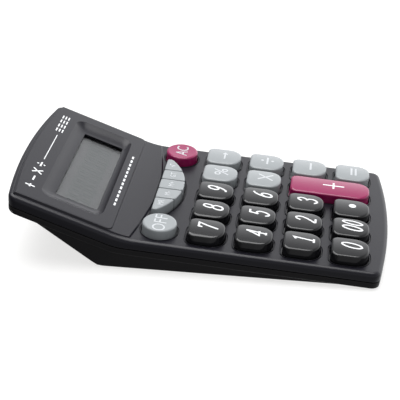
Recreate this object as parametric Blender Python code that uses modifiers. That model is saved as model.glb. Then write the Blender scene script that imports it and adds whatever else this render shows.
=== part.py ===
"""Pocket calculator: a wedge case with a sloping display, 26 moving keys and one AAA cell.

Lengths are metres, +X is the user's right, +Y points to the display end and +Z is up.
The origin is on the table, under the middle of the case. Two empties carry the pieces:
keypad_frame lies parallel to the keypad, just under the key tops (u right, v to the display,
n out of the keys), and display_frame lies in the sloping display face (u, s up the slope, m out
of it).
"""
import math

import bmesh
import bpy
from mathutils import Matrix, Vector

MM = 0.001
GAP = 0.3 * MM

# ---- Attitude of the case ----
TILT = math.radians(4.1)          # keypad plane to the table
FOLD = math.radians(16.7)         # display plane to the keypad plane
KEY_PLANE_Y = -4.020 * MM         # keypad_frame's origin: the middle of the first row of keys
KEY_PLANE_Z = 14.13 * MM
FOOT_HEIGHT = 0.4 * MM            # how far the feet lift the belly off the table
BEYOND = 12 * MM                  # how far cutting profiles run past the case

# ---- Plan of the case, in keypad_frame ----
HALF_WIDTH = 37.3 * MM
FRONT_V = -65.0 * MM
BACK_V = 72.9 * MM
FRONT_BOW = 218 * MM              # radius of the bowed front edge
BACK_BOW = 231 * MM               # radius of the bowed display end
CORNER = 3.2 * MM
RIM_ROUND = 2.0 * MM

# ---- Heights, out of the keypad plane (n) and out of the display face (m) ----
PANEL_N = -3.2 * MM
PANEL_WALL = 1.4 * MM
SIDE_WALL = 1.6 * MM
FOLD_V = 28.9 * MM
DECK_RISE = 0.6 * MM              # step up from the keypad to the display end
PLATE_RISE = 1.0 * MM             # the raised plate round the display, above the bare face
FOLD_SOFTENING = 5.0 * MM         # reach of the soft bend on each side of the fold
STEP_MIDDLE_V = 21.8 * MM         # the step up to the display end: its middle, its sweep at
STEP_SWEEP = 4.9 * MM             # the sides and the half width over which it sweeps
STEP_HALF_WIDTH = 35.7 * MM
PARTING_N = -6.6 * MM             # where the two shells meet, under the keypad
PARTING_M = -4.0 * MM             # the same, under the display face
RIM_BAND = 2.75 * MM              # height of the lower shell's band below the parting
BELLY_INSET = 1.9 * MM
CAVITY_INSET = 3.0 * MM
LIP_RISE = 0.9 * MM               # tongue of the lower shell inside the upper one
FLOOR_WALL = 1.3 * MM
BACK_SLOPE = math.radians(33)     # back of the belly, to the keypad plane
BACK_FOOT_V = 37.6 * MM           # where that slope leaves the flat of the belly
BELLY_ROUND = 5.0 * MM

# ---- Keys ----
COLUMN_PITCH = 13.72 * MM
ROW_PITCH = 17.0 * MM
KEY_HALF_WIDTH = 6.05 * MM
KEY_HALF_LENGTH = 6.65 * MM
KEY_TOP = 0.65 * MM
KEY_BACK_CORNER = 2.7 * MM
KEY_FRONT_CORNER = 5.1 * MM
ROUND_KEY_RADIUS = 6.2 * MM
ROUND_KEY_TOP = 0.4 * MM
KEY_EDGE = 0.6 * MM
FLANGE_TOP = -4.85 * MM
FLANGE_BOTTOM = -5.45 * MM
FLANGE_LIP = 0.4 * MM
KEY_WALL = 1.3 * MM
ROOM_TOP = -1.4 * MM              # top of the room for the rubber post inside a key
KEY_TRAVEL = 1.0 * MM
HOLE_PLAY = 0.35 * MM
MEMORY_TOP = 0.5 * MM
MEMORY_BACK_V = 21.7 * MM
MEMORY_APEX_V = 12.4 * MM
MEMORY_ARC = 29.0 * MM
MEMORY_HALF_LENGTH = 19.2 * MM
MEMORY_DIVIDERS = [-10.7 * MM, -3.57 * MM, 3.57 * MM, 10.7 * MM]
MEMORY_GAP = 0.4 * MM

# ---- Display, in display_frame ----
PLATE_HALF_WIDTH = 34.9 * MM
PLATE_S = (4.6 * MM, 41.4 * MM)
PLATE_CORNERS = (6.0 * MM, 2.5 * MM)
POCKET_HALF_WIDTH = 29.9 * MM
POCKET_S = (9.5 * MM, 33.2 * MM)
POCKET_CORNER = 4.0 * MM
POCKET_FLOOR = -0.7 * MM
WINDOW_HALF_WIDTH = 24.0 * MM
WINDOW_S = (12.1 * MM, 28.2 * MM)
WINDOW_CORNER = 0.6 * MM
LENS_HALF_WIDTH = 27.0 * MM
LENS_S = (10.2 * MM, 30.4 * MM)
LENS_M = (-2.15 * MM, -1.65 * MM)
GLASS_HALF_WIDTH = 28.0 * MM
GLASS_S = (8.8 * MM, 32.0 * MM)
GLASS_M = (-4.3 * MM, -2.4 * MM)
HOLDER_HALF_WIDTH = 29.0 * MM
HOLDER_S = (13.0 * MM, 31.0 * MM)
HOLDER_M = (-5.4 * MM, -4.6 * MM)
EARS_HALF_WIDTH = 34.0 * MM       # the holder's ears reach out to its screws
EARS_S = (18.0 * MM, 24.0 * MM)

# ---- Circuit board and rubber sheet, in keypad_frame ----
RUBBER_N = (-7.3 * MM, -6.7 * MM)
BOARD_N = (-8.35 * MM, -7.55 * MM)
BOARD_HALF_WIDTH = 33.8 * MM
BOARD_V = (-53.6 * MM, 25.8 * MM)
RUBBER_V = (-55.5 * MM, 23.0 * MM)
POST_TOP = ROOM_TOP - KEY_TRAVEL - GAP
POST_RADIUS = 2.4 * MM
CHIP_V = 4.0 * MM
CAPACITOR_PLACE = (14.0 * MM, 14.0 * MM)
CAPACITOR_RADIUS = 1.3 * MM
CAPACITOR_LENGTH = 4.6 * MM

# ---- Screws ----
BOSS_RADIUS = 2.4 * MM
BOSS_HOLE = 1.15 * MM
SHANK_RADIUS = 0.85 * MM
HEAD_RADIUS = 2.2 * MM
SMALL_HEAD_RADIUS = 1.9 * MM
HEAD_HEIGHT = 0.7 * MM
WELL_RADIUS = 2.6 * MM            # room for a head, driven from below
PILLAR_RADIUS = 3.5 * MM
PILLAR_TOP = -9.0 * MM
SEAT_N = -9.55 * MM
END_PILLAR_RADIUS = 3.2 * MM
END_PILLAR_M = (-6.2 * MM, -4.9 * MM)
END_SEAT_M = -5.7 * MM
END_BOSS_M = -4.6 * MM
TIP_N = PANEL_N - PANEL_WALL - 0.6 * MM
TIP_M = -2.0 * MM
CASE_SCREWS = [(-20.58, -8.1), (20.58, -8.1), (-20.58, -42.1), (20.58, -25.1)]
END_SCREWS = [(-31.4, 33.5), (31.4, 33.5)]
BOARD_SCREWS = [(-6.86, -25.1), (6.86, -8.1)]
HOLDER_SCREWS = [(-31.4, 21.0), (31.4, 21.0)]

# ---- Feet, on the table (x, y) in millimetres ----
FOOT_RADIUS = 4.0 * MM
FOOT_RECESS = 0.5 * MM
FEET = [(-27, -52), (27, -52), (-27, 12), (27, 12)]

# ---- Battery bay ----
CELL_RADIUS = 5.25 * MM
CELL_LENGTH = 44.5 * MM
NUB_LENGTH = 0.8 * MM
NUB_RADIUS = 1.9 * MM
CELL_V = 33.9 * MM
CELL_N = -9.3 * MM
CELL_U = 1.75 * MM
BAY_HALF_WIDTH = 27.3 * MM
BAY_V = (27.6 * MM, 39.6 * MM)
BAY_WALL = 1.2 * MM
BAY_TOP_N = -6.2 * MM
DOOR_HALF_WIDTH = 25.2 * MM
DOOR_FRONT_V = 28.2 * MM
DOOR_TIP = 0.45 * MM              # thickness left at the door's chisel end
MOUTH_LENGTH = 11.9 * MM
TONGUE_RISE = 0.7 * MM
CONTACT_THICKNESS = 0.4 * MM
CONTACT_HALF_SIZE = (3.6 * MM, 3.0 * MM)
SPRING_WIRE = 0.3 * MM
LEAD_RADIUS = 0.4 * MM

SEGMENTS = 12                     # sides of a small round bar
FAR = 60 * MM                     # reach of cutting tools across the case

objects = bpy.data.objects
for stale in list(objects):
    objects.remove(stale, do_unlink=True)

parts = bpy.data.collections.new("pocket_calculator")
cutters = bpy.data.collections.new("cutters")
bpy.context.scene.collection.children.link(parts)
bpy.context.scene.collection.children.link(cutters)


# ---- Frames and materials ----
def add_frame(name, parent, location, angle):
    """An empty turned about X, which carries the pieces that lie in its plane."""
    frame = objects.new(name, None)
    parts.objects.link(frame)
    frame.parent = parent
    frame.location = location
    frame.rotation_euler = (angle, 0, 0)
    return frame


keypad_frame = add_frame("keypad_frame", None, (0, KEY_PLANE_Y, KEY_PLANE_Z), TILT)
display_frame = add_frame("display_frame", keypad_frame, (0, FOLD_V, PANEL_N), FOLD)


def add_material(name, colour, roughness, metallic=0.0, alpha=1.0):
    """A Principled material with one colour."""
    made = bpy.data.materials.new(name)
    made.use_nodes = True
    shader = made.node_tree.nodes["Principled BSDF"]
    shader.inputs["Base Color"].default_value = (*colour, 1)
    shader.inputs["Roughness"].default_value = roughness
    shader.inputs["Metallic"].default_value = metallic
    shader.inputs["Alpha"].default_value = alpha
    made.diffuse_color = (*colour, alpha)
    return made


charcoal = add_material("charcoal_plastic", (0.075, 0.075, 0.08), 0.55)
black_shell = add_material("black_plastic", (0.02, 0.019, 0.02), 0.45)
black_key = add_material("black_key_plastic", (0.012, 0.012, 0.014), 0.16)
grey_key = add_material("grey_key_plastic", (0.48, 0.51, 0.53), 0.3)
magenta_key = add_material("magenta_key_plastic", (0.36, 0.01, 0.075), 0.25)
clear = add_material("clear_acrylic", (0.9, 0.92, 0.92), 0.05, alpha=0.3)
lcd_grey = add_material("lcd_glass", (0.22, 0.24, 0.22), 0.2)
board_green = add_material("board_laminate", (0.05, 0.22, 0.1), 0.5)
silicone = add_material("silicone_rubber", (0.55, 0.56, 0.56), 0.7)
epoxy = add_material("black_epoxy", (0.01, 0.01, 0.01), 0.3)
film = add_material("ribbon_film", (0.55, 0.33, 0.12), 0.4)
steel = add_material("zinc_plated_steel", (0.6, 0.6, 0.62), 0.3, 1.0)
cell_skin = add_material("cell_label_foil", (0.1, 0.11, 0.13), 0.3, 0.6)
foot_rubber = add_material("foot_rubber", (0.03, 0.03, 0.03), 0.85)
red_wire = add_material("red_insulation", (0.5, 0.02, 0.02), 0.5)
black_wire = add_material("black_insulation", (0.02, 0.02, 0.02), 0.5)


# ---- Outlines ----
def arc(centre, radius, start, end, steps):
    """Points on an arc, both ends included; angles in degrees."""
    points = []
    for i in range(steps + 1):
        angle = math.radians(start + (end - start) * i / steps)
        points.append((centre[0] + radius * math.cos(angle), centre[1] + radius * math.sin(angle)))
    return points


def rounded_rectangle(u, v, back_corner, front_corner, steps=3):
    """A rectangle between u[0]..u[1] and v[0]..v[1], its front and back corners rounded."""
    points = arc((u[1] - front_corner, v[0] + front_corner), front_corner, -90, 0, steps)
    points += arc((u[1] - back_corner, v[1] - back_corner), back_corner, 0, 90, steps)
    points += arc((u[0] + back_corner, v[1] - back_corner), back_corner, 90, 180, steps)
    points += arc((u[0] + front_corner, v[0] + front_corner), front_corner, 180, 270, steps)
    return points


def bowed_end(half_width, apex, bow, corner, steps):
    """Half of one end, from the side wall to the middle: a rounded corner, then the bow.

    The end at the low side of v has its apex below zero; the other is its mirror image.
    """
    side = math.copysign(1, apex)
    bow_centre = apex - side * bow
    corner_u = half_width - corner
    corner_v = bow_centre + side * math.sqrt((bow - corner) ** 2 - corner_u ** 2)
    spread = math.atan2(corner_u, abs(corner_v - bow_centre))
    points = []
    for i in range(steps + 1):
        turn = (math.pi / 2 - spread) * i / steps
        points.append((corner_u + corner * math.cos(turn), corner_v + side * corner * math.sin(turn)))
    for i in range(1, 4):
        turn = spread * (1 - i / 4)
        points.append((bow * math.sin(turn), bow_centre + side * bow * math.cos(turn)))
    return points


def case_plan(inset):
    """The case's outline in plan, moved inwards by inset."""
    corner = max(CORNER - inset, 1.0 * MM)
    front = bowed_end(HALF_WIDTH - inset, FRONT_V + inset, FRONT_BOW - inset, corner, 4)
    back = bowed_end(HALF_WIDTH - inset, BACK_V - inset, BACK_BOW - inset, corner, 4)
    right = list(reversed(front)) + back
    left = [(-u, v) for u, v in reversed(right)]
    return right + [(0, BACK_V - inset)] + left + [(0, FRONT_V + inset)]


def on_display(s, m):
    """A point of the display frame, as (v, n) of the keypad frame."""
    v = FOLD_V + s * math.cos(FOLD) - m * math.sin(FOLD)
    n = PANEL_N + s * math.sin(FOLD) + m * math.cos(FOLD)
    return v, n


def folded_line(n_level, m_level, soften=0.0):
    """A line over the keypad and up the display face at the given levels, front to back."""
    crossing = (n_level - PANEL_N - m_level * math.cos(FOLD)) / math.sin(FOLD)
    fold_v, fold_n = on_display(crossing, m_level)
    end = on_display(FAR, m_level)
    line = [(FRONT_V - BEYOND, n_level)]
    if soften:
        line.append((fold_v - soften, fold_n))
        line.append((fold_v - soften * 0.25, fold_n + soften * 0.08))
        line.append((fold_v + soften * 0.25, fold_n + soften * (0.08 + 0.25 * math.tan(FOLD) * 0.6)))
        line.append((fold_v + soften * math.cos(FOLD), fold_n + soften * math.sin(FOLD)))
    else:
        line.append((fold_v, fold_n))
    line.append(end)
    return line


def belly_n(v, height):
    """n of the level plane at this height over the table."""
    return (height - KEY_PLANE_Z - v * math.sin(TILT)) / math.cos(TILT)


def belly_line(inset, shelf_m=None):
    """The underside, front to back: level, a rounded corner, then up the back of the belly.

    With shelf_m, it ends along the display end's underside, at that level.
    """
    height = FOOT_HEIGHT + inset
    half_turn = (BACK_SLOPE + TILT) / 2
    corner_v = BACK_FOOT_V - inset * math.tan(half_turn)
    corner_n = belly_n(corner_v, height)
    reach = BELLY_ROUND * math.tan(half_turn)
    start_v = corner_v - reach * math.cos(TILT)
    centre = (start_v + BELLY_ROUND * math.sin(TILT),
              belly_n(start_v, height) + BELLY_ROUND * math.cos(TILT))
    first = -90 - math.degrees(TILT)
    last = -90 + math.degrees(BACK_SLOPE)
    line = [(FRONT_V - BEYOND, belly_n(FRONT_V - BEYOND, height))]
    line += arc(centre, BELLY_ROUND, first, last, 4)
    run = FAR
    if shelf_m is not None:
        drop = PANEL_N - FOLD_V * math.tan(FOLD) + shelf_m / math.cos(FOLD) - corner_n
        level = drop + corner_v * math.tan(BACK_SLOPE)
        crossing_v = level / (math.tan(BACK_SLOPE) - math.tan(FOLD))
        run = (crossing_v - corner_v) / math.cos(BACK_SLOPE)
    line.append((corner_v + run * math.cos(BACK_SLOPE), corner_n + run * math.sin(BACK_SLOPE)))
    if shelf_m is not None:
        line.append(on_display(FAR, shelf_m))
    return line


# ---- Solids ----
def finished(source):
    """A mesh of the object as its modifiers leave it."""
    bpy.context.view_layer.update()
    graph = bpy.context.evaluated_depsgraph_get()
    return bpy.data.meshes.new_from_object(source.evaluated_get(graph))


def clean(mesh):
    """Welds a curve's loose caps and joins its flat triangles into whole faces."""
    shape = bmesh.new()
    shape.from_mesh(mesh)
    bmesh.ops.remove_doubles(shape, verts=shape.verts, dist=0.002 * MM)
    bmesh.ops.dissolve_limit(shape, angle_limit=math.radians(0.05), verts=shape.verts, edges=shape.edges)
    bmesh.ops.recalc_face_normals(shape, faces=shape.faces)
    shape.to_mesh(mesh)
    shape.free()


def add_mesh(name, mesh, frame, home, material=None):
    """Puts a mesh in a collection, under a frame."""
    made = objects.new(name, mesh)
    home.objects.link(made)
    made.parent = frame
    if material:
        mesh.materials.clear()
        mesh.materials.append(material)
    if home is cutters:
        made.hide_render = True
        made.display_type = "WIRE"
    return made


def outline_mesh(name, outline, low, high, across=False):
    """An outline with thickness: (u, v) raised along n, or (v, n) stretched along u."""
    curve = bpy.data.curves.new(name, "CURVE")
    curve.dimensions = "2D"
    curve.fill_mode = "BOTH"
    curve.extrude = (high - low) / 2
    spline = curve.splines.new("POLY")
    spline.points.add(len(outline) - 1)
    for point, (x, y) in zip(spline.points, outline):
        point.co = (x, y, 0, 1)
    spline.use_cyclic_u = True
    drawn = objects.new(name + "_outline", curve)
    bpy.context.scene.collection.objects.link(drawn)
    mesh = finished(drawn)
    objects.remove(drawn, do_unlink=True)
    mesh.transform(Matrix.Translation((0, 0, (low + high) / 2)))
    if across:
        mesh.transform(Matrix(((0, 0, 1, 0), (1, 0, 0, 0), (0, 1, 0, 0), (0, 0, 0, 1))))
    clean(mesh)
    mesh.name = name
    return mesh


def prism(name, outline, low, high, frame=keypad_frame, home=cutters, material=None, across=False):
    """An outline with thickness, as an object."""
    mesh = outline_mesh(name, outline, low, high, across)
    return add_mesh(name, mesh, frame, home, material)


def box_mesh(name, low, high):
    """A box between two corners."""
    shape = bmesh.new()
    bmesh.ops.create_cube(shape, size=1)
    centre = [(a + b) / 2 for a, b in zip(low, high)]
    size = [b - a for a, b in zip(low, high)]
    bmesh.ops.scale(shape, vec=size, verts=shape.verts)
    bmesh.ops.translate(shape, vec=centre, verts=shape.verts)
    mesh = bpy.data.meshes.new(name)
    shape.to_mesh(mesh)
    shape.free()
    return mesh


def box(name, low, high, frame=keypad_frame, home=cutters, material=None):
    """A box between two corners of its frame, as an object."""
    return add_mesh(name, box_mesh(name, low, high), frame, home, material)


def rod_mesh(name, centre, radius, low, high, segments=SEGMENTS, tip_radius=None):
    """A round bar standing on the frame's plane; tip_radius tapers its upper end."""
    shape = bmesh.new()
    top = radius if tip_radius is None else tip_radius
    bmesh.ops.create_cone(shape, cap_ends=True, segments=segments, radius1=radius, radius2=top,
                          depth=high - low)
    bmesh.ops.translate(shape, vec=(centre[0], centre[1], (low + high) / 2), verts=shape.verts)
    mesh = bpy.data.meshes.new(name)
    shape.to_mesh(mesh)
    shape.free()
    return mesh


def rod(name, centre, radius, low, high, frame=keypad_frame, home=cutters, material=None,
        segments=SEGMENTS):
    """A round bar, as an object."""
    mesh = rod_mesh(name, centre, radius, low, high, segments)
    return add_mesh(name, mesh, frame, home, material)


def combine(target, tool, operation="DIFFERENCE"):
    """A Boolean modifier; the tool is one object or a collection of them."""
    modifier = target.modifiers.new(operation.lower() + "_" + tool.name, "BOOLEAN")
    modifier.operation = operation
    modifier.solver = "EXACT"
    if isinstance(tool, bpy.types.Collection):
        modifier.operand_type = "COLLECTION"
        modifier.collection = tool
    else:
        modifier.object = tool
    return modifier


def settle(target):
    """Fixes the modifiers into the mesh, so that pieces can share it."""
    mesh = finished(target)
    target.modifiers.clear()
    target.data = mesh
    return mesh


def tool_set(name):
    """A collection of cutters that one Boolean uses together."""
    group = bpy.data.collections.new(name)
    cutters.children.link(group)
    return group


def smooth(target, angle=35):
    """Shades round faces smooth and keeps the sharper edges."""
    target.data.shade_smooth()
    target.data.set_sharp_from_angle(angle=math.radians(angle))


def points_mm(pairs):
    """Places given in millimetres, as metres."""
    return [(a * MM, b * MM) for a, b in pairs]


# ---- Key shapes ----
def key_outline(grow=0.0, extra_length=0.0):
    """The D-shaped cap: small corners at the display side, large ones at the front."""
    half_u = KEY_HALF_WIDTH + grow
    half_v = KEY_HALF_LENGTH + extra_length / 2 + grow
    return rounded_rectangle((-half_u, half_u), (-half_v, half_v), KEY_BACK_CORNER + grow,
                             KEY_FRONT_CORNER + grow, 3)


def round_outline(grow=0.0, steps=20):
    """A round cap."""
    return arc((0, 0), ROUND_KEY_RADIUS + grow, 0, 360, steps)[:-1]


def memory_arc_v(u, grow=0.0):
    """The bowed front edge of the memory keys."""
    return MEMORY_APEX_V + MEMORY_ARC - math.sqrt((MEMORY_ARC + grow) ** 2 - u ** 2)


def memory_outline(left, right, grow=0.0, steps=4):
    """One slice of the crescent between two values of u."""
    points = []
    for i in range(steps + 1):
        u = left + (right - left) * i / steps
        points.append((u, memory_arc_v(u, grow)))
    points += [(right, MEMORY_BACK_V + grow), (left, MEMORY_BACK_V + grow)]
    return points


def memory_slices():
    """The left and right ends of the five memory keys."""
    edges = [-MEMORY_HALF_LENGTH] + MEMORY_DIVIDERS + [MEMORY_HALF_LENGTH]
    slices = []
    for left, right in zip(edges[:-1], edges[1:]):
        inner_left = left + (MEMORY_GAP / 2 if left > -MEMORY_HALF_LENGTH else 0)
        inner_right = right - (MEMORY_GAP / 2 if right < MEMORY_HALF_LENGTH else 0)
        slices.append((inner_left, inner_right))
    return slices


def chamfer_top(mesh, height, width):
    """Breaks the upper edge of a cap."""
    shape = bmesh.new()
    shape.from_mesh(mesh)
    rim = [edge for edge in shape.edges
           if all(abs(vert.co.z - height) < 0.01 * MM for vert in edge.verts)]
    bmesh.ops.bevel(shape, geom=rim, offset=width, segments=1, profile=0.5, affect="EDGES")
    shape.to_mesh(mesh)
    shape.free()


def key_mesh(name, cap, flange, top, hollow=None):
    """A cap with a retaining flange under the panel, and a hollow for the rubber post."""
    cap_mesh = outline_mesh(name, cap, FLANGE_TOP - 0.2 * MM, top)
    chamfer_top(cap_mesh, top, KEY_EDGE)
    made = add_mesh(name + "_shape", cap_mesh, None, cutters)
    skirt = prism(name + "_flange", flange, FLANGE_BOTTOM, FLANGE_TOP, None)
    combine(made, skirt, "UNION")
    if hollow:
        half_u, half_v = hollow
        room = box(name + "_hollow", (-half_u, -half_v, FLANGE_BOTTOM - 1 * MM),
                   (half_u, half_v, ROOM_TOP), None)
        combine(made, room)
    mesh = settle(made)
    objects.remove(made, do_unlink=True)
    clean(mesh)
    mesh.name = name
    return mesh


KEY_NAMES = [
    ("key_7", "key_8", "key_9", "key_percent", "key_backspace"),
    ("key_4", "key_5", "key_6", "key_multiply", "key_divide"),
    ("key_1", "key_2", "key_3", None, "key_subtract"),
    ("key_0", "key_00", "key_decimal_point", None, "key_equals"),
]
MEMORY_NAMES = ["key_memory_recall", "key_memory_minus", "key_memory_plus", "key_grand_total",
                "key_square_root"]


def key_place(row, column):
    """The middle of a key of the main grid."""
    return (column - 2) * COLUMN_PITCH, -row * ROW_PITCH


def add_keys():
    """All 26 keys; each object's origin is in the middle of its cap, on the axis it moves along."""
    hollow = (KEY_HALF_WIDTH - KEY_WALL, KEY_HALF_LENGTH - KEY_WALL - 0.6 * MM)
    cap = key_mesh("key_cap", key_outline(), key_outline(FLANGE_LIP), KEY_TOP, hollow)
    grey_cap = cap.copy()
    cap.materials.clear()
    cap.materials.append(black_key)
    grey_cap.materials.clear()
    grey_cap.materials.append(grey_key)
    for row, names in enumerate(KEY_NAMES):
        for column, name in enumerate(names):
            if not name:
                continue
            mesh = cap if column < 3 else grey_cap
            key = add_mesh(name, mesh, keypad_frame, parts)
            key.location = (*key_place(row, column), 0)
            smooth(key)
    tall_hollow = (hollow[0], hollow[1] + ROW_PITCH / 2)
    plus = key_mesh("plus_cap", key_outline(0, ROW_PITCH), key_outline(FLANGE_LIP, ROW_PITCH), KEY_TOP,
                    tall_hollow)
    key = add_mesh("key_add", plus, keypad_frame, parts, magenta_key)
    key.location = (COLUMN_PITCH, -2.5 * ROW_PITCH, 0)
    smooth(key)
    round_hollow = (ROUND_KEY_RADIUS - 2.4 * MM, ROUND_KEY_RADIUS - 2.4 * MM)
    for name, column, material in (("key_off", 0, grey_key), ("key_all_clear", 4, magenta_key)):
        mesh = key_mesh(name + "_cap", round_outline(), round_outline(FLANGE_LIP), ROUND_KEY_TOP,
                        round_hollow)
        key = add_mesh(name, mesh, keypad_frame, parts, material)
        key.location = (*key_place(-1, column), 0)
        smooth(key)
    for name, (left, right) in zip(MEMORY_NAMES, memory_slices()):
        middle = (left + right) / 2
        centre = Vector((middle, (MEMORY_BACK_V + memory_arc_v(middle)) / 2, 0))
        cap, flange = memory_outline(left, right), memory_outline(left, right, FLANGE_LIP)
        mesh = key_mesh(name + "_cap", cap, flange, MEMORY_TOP)
        mesh.transform(Matrix.Translation(-centre))
        key = add_mesh(name, mesh, keypad_frame, parts, grey_key)
        key.location = centre
        smooth(key)


def shifted(outline, place):
    """An outline moved to a place."""
    return [(u + place[0], v + place[1]) for u, v in outline]


def grid_places():
    """The middles of the keys of the main grid, without the tall one."""
    for row, names in enumerate(KEY_NAMES):
        for column, name in enumerate(names):
            if name:
                yield key_place(row, column)


# ---- Upper shell ----
def profile_between(upper, lower):
    """A closed (v, n) outline from an upper and a lower line, both front to back."""
    return list(upper) + list(reversed(lower))


def deep_line(depth):
    """A level line well below the case, front to back."""
    return [(FRONT_V - BEYOND, depth), (BACK_V + 2.5 * BEYOND, depth)]


def sky_line():
    """A level line well above the case, front to back."""
    return deep_line(FAR)


def step_v(u):
    """The curved step where the keypad area ends and the display end begins."""
    return STEP_MIDDLE_V + STEP_SWEEP * (abs(u) / STEP_HALF_WIDTH) ** 1.5


def deck_plan():
    """Plan of the raised display end: a curved front, inset from the rounded rim."""
    half = HALF_WIDTH - RIM_ROUND
    front = [(half * i / 5, step_v(half * i / 5)) for i in range(-5, 6)]
    back_v = BACK_V - 3.6 * MM
    back = [(half * i / 5, back_v - (half * i / 5) ** 2 / (2 * BACK_BOW)) for i in range(5, -6, -1)]
    return front + back


def boss(name, place, low, high, frame=keypad_frame):
    """A screw boss and its pilot hole, as two tools."""
    post = rod(name + "_boss", place, BOSS_RADIUS, low, high + 0.5 * MM, frame)
    pilot = rod(name + "_pilot", place, BOSS_HOLE, low - 1 * MM, high - 0.3 * MM, frame)
    return post, pilot


def add_top_case():
    """Upper shell: keypad panel, display end, key holes, window and screw bosses."""
    plan = case_plan(0)
    shell = prism("top_case", plan, -40 * MM, 40 * MM, home=parts, material=charcoal)
    outside = profile_between(folded_line(PANEL_N, 0, FOLD_SOFTENING), deep_line(-30 * MM))
    combine(shell, prism("case_top_profile", outside, -50 * MM, 50 * MM, across=True), "INTERSECT")
    rounding = shell.modifiers.new("rim_round", "BEVEL")
    rounding.width = RIM_ROUND
    rounding.segments = 3
    rounding.limit_method = "ANGLE"
    rounding.angle_limit = math.radians(50)
    below = profile_between(folded_line(PARTING_N, PARTING_M), deep_line(-50 * MM))
    combine(shell, prism("parting_cut", below, -FAR, FAR, across=True))
    deck = prism("deck", deck_plan(), -4 * MM, 40 * MM)
    deck_sheet = profile_between(folded_line(PANEL_N + DECK_RISE, DECK_RISE, FOLD_SOFTENING),
                                 folded_line(PANEL_N - 0.5 * MM, -0.5 * MM, FOLD_SOFTENING))
    combine(deck, prism("deck_sheet", deck_sheet, -50 * MM, 50 * MM, across=True), "INTERSECT")
    combine(shell, deck, "UNION")
    plate_plan = rounded_rectangle((-PLATE_HALF_WIDTH, PLATE_HALF_WIDTH), PLATE_S, *PLATE_CORNERS, 3)
    plate = prism("plate", plate_plan, -0.3 * MM, PLATE_RISE, display_frame)
    combine(shell, plate, "UNION")
    hollow = prism("upper_hollow", case_plan(SIDE_WALL), -40 * MM, 40 * MM)
    inside = profile_between(folded_line(PANEL_N - PANEL_WALL, -PANEL_WALL, FOLD_SOFTENING),
                             deep_line(-40 * MM))
    combine(hollow, prism("upper_inside", inside, -FAR, FAR, across=True), "INTERSECT")
    combine(shell, hollow)
    bosses = tool_set("upper_bosses")
    openings = tool_set("upper_openings")
    places = [("case_screw", place, PILLAR_TOP + GAP, PANEL_N - PANEL_WALL, keypad_frame)
              for place in points_mm(CASE_SCREWS)]
    places += [("board_screw", place, BOARD_N[1] + GAP, PANEL_N - PANEL_WALL, keypad_frame)
               for place in points_mm(BOARD_SCREWS)]
    places += [("end_screw", place, END_BOSS_M, -PANEL_WALL, display_frame)
               for place in points_mm(END_SCREWS)]
    places += [("holder_screw", place, HOLDER_M[1] + GAP, -PANEL_WALL, display_frame)
               for place in points_mm(HOLDER_SCREWS)]
    for name, place, low, high, frame in places:
        post, pilot = boss(name, place, low, high, frame)
        bosses.objects.link(post)
        openings.objects.link(pilot)
    combine(shell, bosses, "UNION")
    for place in grid_places():
        hole = shifted(key_outline(HOLE_PLAY), place)
        openings.objects.link(prism("key_hole", hole, -8 * MM, 6 * MM))
    tall = shifted(key_outline(HOLE_PLAY, ROW_PITCH), (COLUMN_PITCH, -2.5 * ROW_PITCH))
    openings.objects.link(prism("plus_hole", tall, -8 * MM, 6 * MM))
    for column in (0, 4):
        ring = shifted(round_outline(HOLE_PLAY), key_place(-1, column))
        openings.objects.link(prism("round_hole", ring, -8 * MM, 6 * MM))
    reach = MEMORY_HALF_LENGTH + HOLE_PLAY
    crescent = memory_outline(-reach, reach, HOLE_PLAY, 12)
    openings.objects.link(prism("memory_hole", crescent, -8 * MM, 6 * MM))
    pocket = rounded_rectangle((-POCKET_HALF_WIDTH, POCKET_HALF_WIDTH), POCKET_S, POCKET_CORNER,
                               POCKET_CORNER, 3)
    well = prism("display_pocket", pocket, POCKET_FLOOR, 10 * MM, display_frame)
    openings.objects.link(well)
    window = rounded_rectangle((-WINDOW_HALF_WIDTH, WINDOW_HALF_WIDTH), WINDOW_S, WINDOW_CORNER,
                               WINDOW_CORNER, 1)
    openings.objects.link(prism("window_hole", window, -8 * MM, 0, display_frame))
    combine(shell, openings)
    smooth(shell)


# ---- Lower shell ----
def world_y(v, n):
    """Y of a keypad-frame point."""
    return KEY_PLANE_Y + v * math.cos(TILT) - n * math.sin(TILT)


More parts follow.
